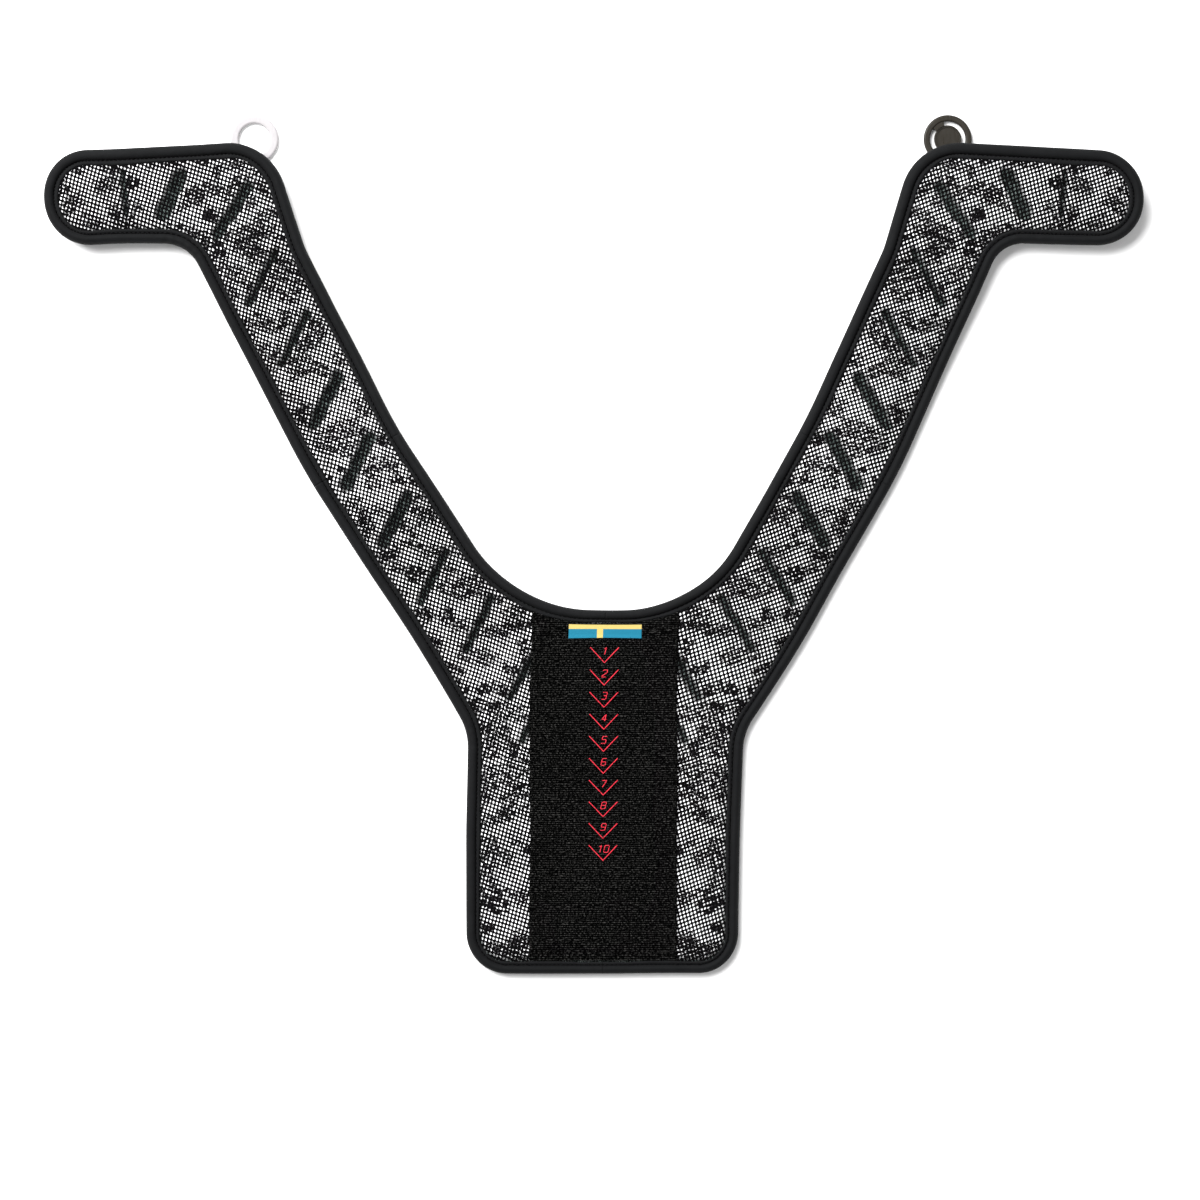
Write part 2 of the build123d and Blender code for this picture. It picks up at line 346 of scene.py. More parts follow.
@dataclass(frozen=True)
class Plan:
    """Sizes of the harness and the functions that say where its cloth lies."""

    overall_width: float = 749.4
    panel_width: float = 185.0
    panel_flare: float = 1.7
    armpit_height: float = 169.2
    neck_height: float = 250.7
    strap_width: float = 71.4
    strap_bend: tuple[float, float] = (171.3, 359.6)
    lower_tilt: float = 31.4
    upper_tilt: float = 25.5
    hook_low: float = 497.2
    hook_high: float = 561.2
    hook_low_tilt: float = -1.5
    hook_top_tilt: float = -3.0
    shoulder_point: tuple[float, float] = (194.5, 488.4)
    shoulder_tilt: float = 17.4
    panel_corner_r: float = 27.5
    armpit_r: float = 41.0
    bend_r: float = 400.0
    hook_inner_r: float = 24.0
    tip_share: float = 0.497
    top_corner_r: float = 41.0
    shoulder_r: float = 70.0
    neck_r: float = 89.0
    shoulder_fold_at: float = -78.0
    chest_fold_at: float = 59.0
    end_lift: float = 3.3
    lift_ease: float = 22.0
    bend_ease: float = 17.0
    fold_height: float = 10.0
    binding_width: float = 10.5
    slot_length: float = 45.0
    slot_width: float = 5.6
    strap_slots: tuple = ((-3, 5.6), (-2, 8.8), (-1, 8.6), (0, 8.2), (1, 5.4), (2, 4.8))
    slot_tilt: float = 28.5
    slot_pitch: float = 46.6
    slot_rag: float = 1.0
    first_slot_above: float = 35.8
    panel_slots: tuple = ((87.7, 239.8), (54.5, 206.0), (46.0, 176.0))
    hook_slots: tuple = (
        (245.9, 521.6, 46.0, 7.8, 35.0),
        (287.5, 532.5, 38.0, 10.0, 25.0),
        (319.5, 533.5, 33.0, 3.6, -5.0),
    )
    lay_middle: tuple = ((0, 1.0), (90, 1.7), (205, 1.8), (226, 2.2), (260, 3.2), (570, 3.2))
    lay_strap: tuple = (
        *((0, 0.7), (100, 1.5), (160, 3.0), (205, 5.3), (235, 5.2), (276, 2.8)),
        *((344, 0.3), (400, -1.5), (454, -3.5), (522, -5.0), (565, -5.2)),
    )
    lay_spread: float = 0.8
    lay_ripple: tuple[float, float] = (0.45, 0.6)
    neck_sag: float = 2.4
    neck_sag_half: float = 40.0
    foot_dip: float = 0.8
    crown_from: float = 6.0
    crown_full: float = 27.0
    swell: float = 0.22
    inner_spots: tuple = ((190, 478), (205, 530), (228, 561), (262, 566), (345, 563), (366, 551))
    outer_spots: tuple = ((63, 0), (92.7, 45), (94, 150), (99, 177), (114, 200), (130, 226))
    hook_spots: tuple = ((266, 478), (277, 497), (284, 501), (297, 501), (345, 500), (366, 511))
    parting_station: float = 7.0

    # ---- the edge

    def runs(self) -> list[tuple[np.ndarray, np.ndarray]]:
        """Straight runs of the right half of the edge, each a point and a heading, from the bottom to the neck."""
        low, high, shoulder = heading(self.lower_tilt), heading(self.upper_tilt), heading(self.shoulder_tilt)
        bend, half, w = np.array(self.strap_bend), self.overall_width / 2, self.strap_width / 2
        flare = np.array([self.panel_flare, self.armpit_height])
        return [
            (np.array([0.0, 0.0]), np.array([1.0, 0.0])),
            (np.array([self.panel_width / 2, 0.0]), flare / np.linalg.norm(flare)),
            (bend + right_of(low) * w, low),
            (bend + right_of(high) * w, high),
            (np.array([half, self.hook_low]), heading(90.0 - self.hook_low_tilt)),
            (np.array([half, 0.0]), np.array([0.0, 1.0])),
            (np.array([half, self.hook_high]), heading(-90.0 - self.hook_top_tilt)),
            (np.array(self.shoulder_point), -shoulder),
            (bend - right_of(high) * w, -high),
            (bend - right_of(low) * w, -low),
            (np.array([0.0, self.neck_height]), np.array([-1.0, 0.0])),
        ]

    def radii(self) -> list[float]:
        """Radius between each run and the next."""
        tip = self.tip_share * (self.hook_high - self.hook_low)
        return [
            self.panel_corner_r,
            self.armpit_r,
            self.bend_r,
            self.hook_inner_r,
            tip,
            tip,
            self.top_corner_r,
            self.shoulder_r,
            self.bend_r,
            self.neck_r,
        ]

    def edge(self, step: float = 1.0) -> EdgeLine:
        """Right half of the edge as evenly spaced points.

        Each corner is an arc of its radius r: centre on the inner side of the turn, points at the centre
        plus r times the sine and minus the cosine of the heading angle.

        Args:
            step: distance between points in millimetres.

        Returns:
            The sampled edge.
        """
        runs = self.runs()
        points, angles = [np.zeros((1, 2))], [np.zeros(1)]
        for (p, u), (q, v), radius in zip(runs, runs[1:], self.radii()):
            t = ((q - p)[0] * v[1] - (q - p)[1] * v[0]) / (u[0] * v[1] - u[1] * v[0])
            turn = np.arctan2(u[0] * v[1] - u[1] * v[0], u @ v)
            start = p + u * (t - radius * np.tan(abs(turn) / 2))
            begin = angles[-1][-1]
            sign = np.sign(turn)
            centre = start + sign * radius * np.array([-u[1], u[0]])
            a = begin + turn * np.linspace(0, 1, max(5, int(abs(turn) * radius / 0.5)))
            points.append(centre + sign * radius * np.stack([np.sin(a), -np.cos(a)], 1))
            angles.append(a)
        points.append(np.array([[0.0, self.neck_height]]))
        angles.append(angles[-1][-1:])
        xy, angle = np.concatenate(points), np.concatenate(angles)
        length = walked(xy)
        even = np.linspace(0, length[-1], int(length[-1] / step) + 1)
        x, y = np.interp(even, length, xy[:, 0]), np.interp(even, length, xy[:, 1])
        return EdgeLine(np.stack([x, y], 1), np.interp(even, length, angle), even)

    def inset_of(self, xy: np.ndarray) -> np.ndarray:
        """Distance in from the edge of points on the right half, along the inward vector at the nearest edge point.

        The points are taken in lots, so that the table of distances stays small.
        """
        edge, lot = self.edge(2.0), 4000
        inward, out = edge.inward, np.empty(len(xy))
        for start in range(0, len(xy), lot):
            part = xy[start : start + lot]
            near = np.argmin(((part[:, None] - edge.xy[None]) ** 2).sum(2), axis=1)
            out[start : start + lot] = ((part - edge.xy[near]) * inward[near]).sum(1)
        return out

    # ---- the strap

    def path_point(self, distance: float) -> np.ndarray:
        """Point on the right strap's centre line at a distance from its bend."""
        return np.array(self.strap_bend) + heading(self.way_at(distance)) * distance

    def way_at(self, distance: float) -> float:
        """Tilt of the strap's centre line at a distance from its bend."""
        return self.upper_tilt if distance > 0 else self.lower_tilt

    def past(self, xy: np.ndarray, distance: float) -> np.ndarray:
        """How far points lie past the line across the strap at a distance from its bend."""
        return (xy - self.path_point(distance)) @ heading(self.way_at(distance))

    @property
    def middle_at(self) -> float:
        """Where the layers part, midway between the two fold lines."""
        return (self.shoulder_fold_at + self.chest_fold_at) / 2

    def lifted(self, points: np.ndarray) -> np.ndarray:
        """Raises the strap ends.

        The rise is tan(lift) times the distance past the chest fold, eased in by a parabola over the ease
        length each side of it.

        Args:
            points: n by 3, on either side of the middle.

        Returns:
            The points with their rise added.
        """
        out = points.copy()
        q = self.past(np.stack([np.abs(points[:, 0]), points[:, 1]], 1), self.chest_fold_at)
        w = self.lift_ease
        rise = np.where(q > w, q, w * np.clip((q + w) / (2 * w), 0, 1) ** 2)
        out[:, 2] += np.tan(np.radians(self.end_lift)) * rise
        return out

    def slots(self) -> np.ndarray:
        """Every foam slot on the right: centre, length, width and tilt."""
        rows = [
            (*self.path_point(self.first_slot_above + self.slot_pitch * k), self.slot_length, width, self.slot_tilt)
            for k, width in self.strap_slots
        ]
        rows += [(x, y, self.slot_length, self.slot_width, self.slot_tilt) for x, y in self.panel_slots]
        return np.array(rows + list(self.hook_slots))

    def slot_distance(self, xy: np.ndarray) -> np.ndarray:
        """Distance from each point to the nearest slot's edge, negative inside it.

        A slot is every point within half its width of a line leaning towards the middle at its top, its edge a
        little ragged where the foam was punched.
        """
        best = np.full(len(xy), np.inf)
        for x, y, length, width, tilt in self.slots():
            lean = heading(-tilt)
            gap = xy - np.array([x, y])
            along = np.clip(gap @ lean, -(length - width) / 2, (length - width) / 2)
            best = np.minimum(best, np.linalg.norm(gap - along[:, None] * lean, axis=1) - width / 2)
        return best + self.slot_rag * RAG.at(xy[:, 0], xy[:, 1])

    # ---- how it lies

    def laid(self, points: np.ndarray) -> np.ndarray:
        """Moves points from the even plan to where the cloth lies on the floor.

        The sideways shift is read from short lists of heights and shifts, softened by a weighted mean over
        25 mm up and down, one list for the middle and one for the straps, with a spread that grows with the
        distance from the middle. The neck sags, and slow ripples of under a millimetre run through everything.

        Args:
            points: n by 3 in plan millimetres.

        Returns:
            The moved points.
        """
        x, y = points[:, 0], points[:, 1]
        taps, weights = np.linspace(-25, 25, 7), np.array([1, 3, 5, 6, 5, 3, 1]) / 24

        def eased(knots: tuple) -> np.ndarray:
            """Shift at each height, softened."""
            at, shift = np.array(knots).T
            return sum(w * np.interp(y + d, at, shift) for w, d in zip(weights, taps))

        middle, strap = eased(self.lay_middle), eased(self.lay_strap)
        out_here = smooth_step(np.abs(x), 48, 95)
        dx = middle + (strap - middle) * out_here + self.lay_spread * np.clip(x / 110, -1, 1)
        dx += self.lay_ripple[0] * LAY_X.at(x, y)
        sag = self.neck_sag * np.exp(-(((x - 3) / self.neck_sag_half) ** 2)) * smooth_step(y, 226, 246)
        dy = self.lay_ripple[1] * LAY_Y.at(x, y) - sag
        dy -= self.foot_dip * (1 - smooth_step(y, 0, 25))
        return points + np.stack([dx, dy, np.zeros_like(x)], 1)

    # ---- heights before the lift

    def crown(self, inset: np.ndarray) -> np.ndarray:
        """0 where the binding pinches the layers and 1 where the padding is full."""
        return smooth_step(inset, self.crown_from, self.crown_full)

    def net_height(self, xy: np.ndarray, inset: np.ndarray) -> np.ndarray:
        """Middle of the face net."""
        return 7.9 + 1.5 * self.crown(inset) + self.swell * SWELL.at(xy[:, 0], xy[:, 1])

    def liner_height(self, xy: np.ndarray, inset: np.ndarray) -> np.ndarray:
        """Top of the white liner between its slots, held down where the binding is sewn through it."""
        held = 1 - smooth_step(inset, 8.6, 11.0)
        return 7.4 + 1.6 * self.crown(inset) + self.swell * SWELL.at(xy[:, 0], xy[:, 1]) - 1.9 * held

    def shell_height(self, xy: np.ndarray, inset: np.ndarray) -> np.ndarray:
        """Underside of the shell."""
        return 1.1 - 0.85 * self.crown(inset) + 0.1 * SWELL.at(xy[:, 0] + 500, xy[:, 1])

    def half_rows(self, inset: float, row_step: float, columns: int) -> tuple[np.ndarray, int]:
        """Grid over the right half, whose rows run from the inner to the outer border.

        The inner border is the middle line, the neck and the strap's inner edge, and the outer border is the
        rest of the edge. Matching stations on the two are joined by straight rows, evenly spaced in between.

        Args:
            inset: how far the grid stays in from the edge.
            row_step: distance between rows.
            columns: points in a row.

        Returns:
            Rows by columns by 2 points, and the row where the two halves of the layers part.
        """
        edge = self.edge(0.5)
        total = edge.length[-1]
        top = self.neck_height - inset
        fold, middle, chest = (self.path_point(d) for d in (self.shoulder_fold_at, self.middle_at, self.chest_fold_at))
        w = self.strap_width / 2
        low, high = right_of(heading(self.lower_tilt)) * w, right_of(heading(self.upper_tilt)) * w
        tip = edge.nearest(self.overall_width / 2, (self.hook_low + self.hook_high) / 2 + 1)
        inner = [edge.nearest(*p) for p in (fold - low, middle - low, chest - high, *self.inner_spots)] + [tip]
        inner = [inset, 45.0, 150.0, 215.0, top + 15, top + 52] + [top + total - at for at in inner]
        outer = [*self.outer_spots, fold + low, middle + low, chest + high, *self.hook_spots]
        outer = [edge.nearest(*p) for p in outer] + [tip]
        stations = np.arange(len(inner))

        def border(k: np.ndarray) -> tuple[np.ndarray, np.ndarray]:
            """Points on the inner and the outer border at stations k."""
            a, b = np.interp(k, stations, inner), np.interp(k, stations, outer)
            axis = np.stack([np.zeros_like(a), a], 1)
            rim = edge.point(total - np.clip(a - top, 0, None), inset)
            return np.where((a < top)[:, None], axis, rim), edge.point(b, inset)

        fine = np.linspace(0, len(inner) - 1, 4000)
        p, q = border(fine)
        walk = np.linalg.norm(np.diff((p + q) / 2, axis=0), axis=1)
        walk = np.concatenate([[0.0], np.cumsum(walk + 0.02)])
        parting = np.interp(self.parting_station, fine, walk)
        before, after = int(parting / row_step), int((walk[-1] - parting) / row_step)
        at = np.concatenate([np.linspace(0, parting, before + 1), np.linspace(parting, walk[-1], after + 1)[1:]])
        p, q = border(np.interp(at, walk, fine))
        t = np.linspace(0, 1, columns)[None, :, None]
        return p[:, None] * (1 - t) + q[:, None] * t, before


SWELL = SmoothField(11, 38.0)
RAG = SmoothField(12, 3.4)
LAY_X, LAY_Y = SmoothField(13, 46.0), SmoothField(14, 46.0)


# ---------------------------------------------------------------- finishes

Colour = tuple[float, float, float]
Stops = list[tuple[float, Colour]]
Socket = bpy.types.NodeSocket


class Space(Enum):
    """What a pattern follows: the piece's place in the room, or the cloth's own surface."""

    ROOM = "Object"
    CLOTH = "UV"


class Bands(Enum):
    """Which way the bands of a wave pattern follow each other."""

    ACROSS = "X"
    UPWARDS = "Y"
    SLANTING = "DIAGONAL"


class NodeBoard:
    """Lays out one material's nodes round its shader."""

    def __init__(self, tree: bpy.types.NodeTree) -> None:
        """Takes a new material's node tree, with its shader in it."""
        self.tree = tree
        self.shader = tree.nodes["Principled BSDF"]

    def feed(self, socket: Socket, value: object) -> None:
        """Links a socket to another one, or sets it to a plain value."""
        if isinstance(value, Socket):
            self.tree.links.new(value, socket)
        else:
            socket.default_value = value

    def shade(self, name: str, value: object) -> None:
        """Feeds one of the shader's inputs."""
        self.feed(self.shader.inputs[name], value)

    def node(self, kind: str, **inputs: object) -> bpy.types.Node:
        """New shader node of a kind, its inputs fed by name."""
        made = self.tree.nodes.new(f"ShaderNode{kind}")
        for name, value in inputs.items():
            self.feed(made.inputs[name.replace("_", " ")], value)
        return made

    def place(self, space: Space = Space.ROOM) -> Socket:
        """Coordinates for a pattern."""
        return self.node("TexCoord").outputs[space.value]

    def turned(self, source: Socket, angle: float, scale: tuple) -> Socket:
        """Coordinates turned about Z by an angle in degrees and scaled."""
        rotation = (0.0, 0.0, np.radians(angle))
        return self.node("Mapping", Vector=source, Rotation=rotation, Scale=scale).outputs["Vector"]

    def noise(self, source: Socket, scale: float, detail: float = 3.0, rough: float = 0.5) -> Socket:
        """Noise from 0 to 1."""
        return self.node("TexNoise", Vector=source, Scale=scale, Detail=detail, Roughness=rough).outputs["Fac"]

    def wave(self, source: Socket, scale: float, bands: Bands = Bands.ACROSS, distortion: float = 0.0) -> Socket:
        """Sine bands from 0 to 1, about 0.314 m apart divided by the scale."""
        node = self.node("TexWave", Vector=source, Scale=scale, Distortion=distortion, Detail_Scale=2.0)
        node.wave_type, node.bands_direction, node.wave_profile = "BANDS", bands.value, "SIN"
        return node.outputs["Fac"]

    def maths(self, operation: str, a: object, b: object) -> Socket:
        """One arithmetic step on two sockets or numbers."""
        node = self.node("Math")
        node.operation = operation
        self.feed(node.inputs[0], a)
        self.feed(node.inputs[1], b)
        return node.outputs[0]

    def total(self, *terms: tuple[Socket, float]) -> Socket:
        """Sum of sockets, each times its own weight."""
        scaled = [socket if weight == 1 else self.maths("MULTIPLY", socket, weight) for socket, weight in terms]
        return reduce(partial(self.maths, "ADD"), scaled)

    def mark(self, name: str) -> Socket:
        """Number that each point of the mesh carries under a name."""
        node = self.node("Attribute")
        node.attribute_name = name
        return node.outputs["Fac"]

    def between(self, share: Socket, first: Socket, second: Socket) -> Socket:
        """Colour that goes from the first to the second as the share goes from 0 to 1."""
        node = self.node("Mix")
        node.data_type = "RGBA"
        for number, value in ((0, share), (6, first), (7, second)):
            self.feed(node.inputs[number], value)
        return node.outputs[2]

    def ramp(self, source: Socket, stops: Stops) -> Socket:
        """Colour picked by a number from 0 to 1."""
        node = self.node("ValToRGB", Fac=source)
        while len(node.color_ramp.elements) < len(stops):
            node.color_ramp.elements.new(0.5)
        for element, (at, colour) in zip(node.color_ramp.elements, stops):
            element.position = at
            element.color = (*colour, 1.0)
        return node.outputs["Color"]

    def emboss(self, height: Socket, depth: float) -> None:
        """Relief of that height on the shader's normal, its depth in metres."""
        self.shade("Normal", self.node("Bump", Height=height, Distance=depth, Strength=1.0).outputs["Normal"])


def tones(colour: Colour, *gains: tuple[float, float | Colour]) -> Stops:
    """Ramp stops, each a place and the colour times a factor or times three, at most 1."""
    return [(at, tuple(min(1.0, c * g) for c, g in zip(colour, np.broadcast_to(gain, 3)))) for at, gain in gains]


@dataclass(frozen=True)
class Finish:
    """A surface finish: its colour, gloss and the depth in metres of the relief that its nodes add."""

    name: str
    slot: str
    colour: Colour
    roughness: float = 0.8
    specular: float = 0.3
    sheen: float = 0.0
    relief: float = 0.00005

    def material(self) -> bpy.types.Material:
        """The finish as a Blender material, made once."""
        made = bpy.data.materials.get(self.name)
        if made is None:
            made = bpy.data.materials.new(self.name)
            made.use_nodes = True
            board = NodeBoard(made.node_tree)
            board.shade("Base Color", (*self.colour, 1.0))
            board.shade("Roughness", self.roughness)
            board.shade("Specular IOR Level", self.specular)
            board.shade("Sheen Weight", self.sheen)
            self.dress(board)
        return made

    def dress(self, board: NodeBoard) -> None:
        """Adds the finish's own nodes."""

    def shades(self, low: float, high: float) -> Stops:
        """Ramp stops from the colour times low to the colour times high."""
        return tones(self.colour, (0.3, low), (0.7, high))


@dataclass(frozen=True)
class NetThread(Finish):
    """Twisted polyester thread of the face net."""

    relief: float = 0.00006
    filaments: float = 1400.0
    lint: float = 2400.0
    patches: float = 60.0

    def dress(self, board: NodeBoard) -> None:
        """Fine filaments across the lattice and slight changes of tone."""
        at = board.place()
        filaments = board.wave(board.turned(at, -20.0, (1, 1, 1)), self.filaments, Bands.SLANTING, 3.0)
        board.emboss(board.total((filaments, 1), (board.noise(at, self.lint, 2.0), 1)), self.relief)
        board.shade("Base Color", board.ramp(board.noise(at, self.patches), self.shades(0.7, 1.5)))


@dataclass(frozen=True)
class PadCloth(Finish):
    """White liner on the foam, dark and fibrous where the slots show the inside of the shell, and painted shade in the
    same dark colour along a band at the edge where the liner runs under the binding.
    """

    # Colour of the inside of the shell in the slots, also used as painted shade along the edge under the binding.
    dark: Colour = (0.0085, 0.0105, 0.0100)
    knit: float = 1100.0
    fuzz: float = 1500.0
    patches: float = 90.0

    def dress(self, board: NodeBoard) -> None:
        """Brushed knit relief, and the dark colour by the mark on each point, which covers the slots and a band of
        painted shade along the edge.
        """
        at = board.place()
        fuzz, knit = board.noise(at, self.fuzz, 2.0), board.wave(at, self.knit, Bands.UPWARDS, 2.0)
        board.emboss(board.total((fuzz, 1), (knit, 1)), self.relief)
        white = board.ramp(board.noise(at, self.patches), self.shades(0.93, 1.04))
        fibres = board.noise(board.turned(at, 35.0, (1.0, 0.4, 1.0)), self.knit, 3.0, 0.7)
        inside = board.ramp(fibres, tones(self.dark, (0.42, 1), (0.54, 12), (0.64, 45)))
        # The slot mark also carries the painted shade along the edge, where the liner dips under the binding.
        board.shade("Base Color", board.between(board.mark("slot"), white, inside))


@dataclass(frozen=True)
class PrintInk(Finish):
    """Dark ink laid on a knit, thin in places."""

    relief: float = 0.00004
    worn: Colour = (0.09, 0.08, 0.09)
    grain: float = 1300.0

    def dress(self, board: NodeBoard) -> None:
        """Tone by a fine noise, so the cloth shows through here and there."""
        wear = board.noise(board.place(), self.grain, 3.0, 0.7)
        board.shade("Base Color", board.ramp(wear, [(0.52, self.colour), (0.78, self.worn)]))
        board.emboss(wear, self.relief)


@dataclass(frozen=True)
class BindingTape(Finish):
    """Soft knitted tape with a closed, matte face."""

    relief: float = 0.00009
    courses: float = 520.0
    fuzz: float = 1900.0
    patches: float = 160.0

    def dress(self, board: NodeBoard) -> None:
        """Fine courses across the tape, lint and a slow change of tone."""
        at, along = board.place(), board.turned(board.place(Space.CLOTH), 0.0, (1.0, 0.03, 1.0))
        courses = board.wave(along, self.courses, Bands.ACROSS, 1.5)
        fuzz, slow = board.noise(at, self.fuzz, 4.0, 0.7), board.noise(at, self.patches, 2.0)
        board.emboss(board.total((courses, 0.35), (fuzz, 1), (slow, 2.0)), self.relief)
        board.shade("Base Color", board.ramp(board.total((fuzz, 0.6), (slow, 0.4)), self.shades(0.72, 1.4)))


@dataclass(frozen=True)
class LoopPile(Finish):
    """Loop pile, lighter or darker from place to place, the lighter ones a little brown: painted shade deep in the pile
    and painted highlights on the loop tops.
    """

    grain: float = 750.0
    rows: float = 209.0
    lint: float = 3000.0
    # Ramp stops from painted shade deep in the pile (0.05) up to painted highlights on the loop tops (40).
    gains: tuple = ((0.44, 0.05), (0.52, 1), (0.58, (7, 7, 6.8)), (0.66, (40, 39, 37)))

    def dress(self, board: NodeBoard) -> None:
        """Tone by position, in faint rows: near black for painted shade between the loops, light specks for painted
        highlights on the loop tops.
        """
        at = board.place()
        grain, rows = board.noise(at, self.grain, 3.0, 0.8), board.wave(at, self.rows, Bands.UPWARDS, 2.5)
        spots = board.total((grain, 0.86), (rows, 0.14))
        board.shade("Base Color", board.ramp(spots, tones(self.colour, *self.gains)))
        board.emboss(board.noise(at, self.lint, 2.0), self.relief)


@dataclass(frozen=True)
class ShellCloth(Finish):
    """Plain-woven nylon with a ripstop grid."""

    relief: float = 0.00012
    space: Space = Space.CLOTH
    threads: float = 640.0
    rip_bars: float = 62.8
    rip_edge: float = 0.97
    patches: float = 120.0

    def dress(self, board: NodeBoard) -> None:
        """Warp and weft as crossed sine bands, with a heavier thread every 5 mm each way."""
        at, ways = board.place(self.space), (Bands.ACROSS, Bands.UPWARDS)
        weave = board.maths("MAXIMUM", *(board.wave(at, self.threads, way) for way in ways))
        bars = (board.maths("GREATER_THAN", board.wave(at, self.rip_bars, way), self.rip_edge) for way in ways)
        rip = board.maths("MAXIMUM", *bars)
        board.emboss(board.total((weave, 0.5), (rip, 1), (board.noise(at, self.patches), 1)), self.relief)
        board.shade("Base Color", board.ramp(board.total((weave, 0.5), (rip, 0.4)), self.shades(0.7, 1.5)))


@dataclass(frozen=True)
class Thread(Finish):
    """Sewing or embroidery thread, ribbed across by its twist."""

    relief: float = 0.00006
    twist: float = 900.0

    def dress(self, board: NodeBoard) -> None:
        """Slanting twist along the thread's own UVs, which are metres one way and a share of a turn the other."""
        along = board.turned(board.place(Space.CLOTH), 0.0, (1.0, 0.0016, 1.0))
        ply = board.wave(along, self.twist, Bands.SLANTING)
        board.emboss(ply, self.relief)
        board.shade("Base Color", board.ramp(ply, self.shades(0.75, 1.15)))


@dataclass(frozen=True)
class WovenLabel(Finish):
    """Woven tab whose top band and stripe are marked on its points."""

    relief: float = 0.00008
    band: Colour = (0.52, 0.40, 0.125)
    warp: float = 700.0
    weft: float = 900.0

    def dress(self, board: NodeBoard) -> None:
        """Two yarn colours by the band mark, with warp and weft relief."""
        at = board.place()
        weave = board.total((board.wave(at, self.warp), 1), (board.wave(at, self.weft, Bands.UPWARDS), 1))
        board.emboss(weave, self.relief)
        half = board.total((weave, 0.5))
        ground = board.ramp(half, self.shades(0.8, 1.15))
        band = board.ramp(half, tones(self.band, (0.3, 0.85), (0.7, 1)))
        marked = board.maths("GREATER_THAN", board.mark("band"), 0.5)
        board.shade("Base Color", board.between(marked, ground, band))


@dataclass(frozen=True)
class MouldedPlastic(Finish):
    """Moulded plastic with a fine spark-eroded grain, some of it clear."""

    relief: float = 0.00003
    clear: float = 0.0
    grain: float = 1800.0
    scuffs: float = 700.0

    def dress(self, board: NodeBoard) -> None:
        """Grain, faint scuffs in the gloss and, for the clear one, the floor showing through."""
        at = board.place()
        board.emboss(board.noise(at, self.grain, 3.0), self.relief)
        scuffs = board.noise(board.turned(at, 40.0, (1.0, 0.2, 1.0)), self.scuffs, 4.0)
        glossy, dull = max(0.05, self.roughness - 0.1), self.roughness + 0.12
        board.shade("Roughness", board.ramp(scuffs, [(0.3, (glossy,) * 3), (0.7, (dull,) * 3)]))
        board.shade("Alpha", 1.0 - self.clear)


@dataclass(frozen=True)
class Paper(Finish):
    """Plain pale floor."""

    def dress(self, board: NodeBoard) -> None:
        """Barely visible tone."""
        board.shade("Base Color", board.ramp(board.noise(board.place(), 2.0), self.shades(0.99, 1.01)))


NET = NetThread("net_thread", "mesh", (0.0017, 0.0016, 0.0018), 0.75, 0.02)
LINER = PadCloth("pad_cloth", "liner", (0.95, 0.95, 0.96), 0.85, 0.2)
PRINT = PrintInk("print_ink", "mesh", (0.0055, 0.0052, 0.0060), 0.8, 0.03)
BINDING = BindingTape("binding_tape", "binding", (0.0040, 0.0042, 0.0046), 0.75, 0.07, sheen=0.02)
# Base colour kept very dark as painted shade for the light trapped in the deep pile.
PILE = LoopPile("loop_yarn", "loop_pile", (0.0011, 0.0011, 0.0011), 0.7, 0.005)
SHELL = ShellCloth("shell_cloth", "shell", (0.014, 0.014, 0.016), 0.6, 0.15)
SEAM = Thread("seam_thread", "binding", (0.0065, 0.0065, 0.0072), 0.6, 0.10)
RED = Thread("embroidery", "scale_thread", (0.62, 0.02, 0.04), 0.5, 0.2, twist=1400.0)
LABEL = WovenLabel("woven_label", "woven_tab", (0.011, 0.145, 0.225), 0.7, 0.1)
WEBBING = ShellCloth("webbing_weave", "webbing", (0.012, 0.012, 0.013), 0.6, 0.15, space=Space.ROOM)
CLEAR = MouldedPlastic("clear_moulding", "clear_plastic", (0.39, 0.375, 0.383), 0.3, relief=0.00001, clear=0.28)
DARK = MouldedPlastic("dark_moulding", "dark_plastic", (0.0185, 0.0160, 0.0125), 0.34, 0.16)
FLOOR = Paper("floor", "", (0.9, 0.9, 0.9), 0.9)


# ---------------------------------------------------------------- bench


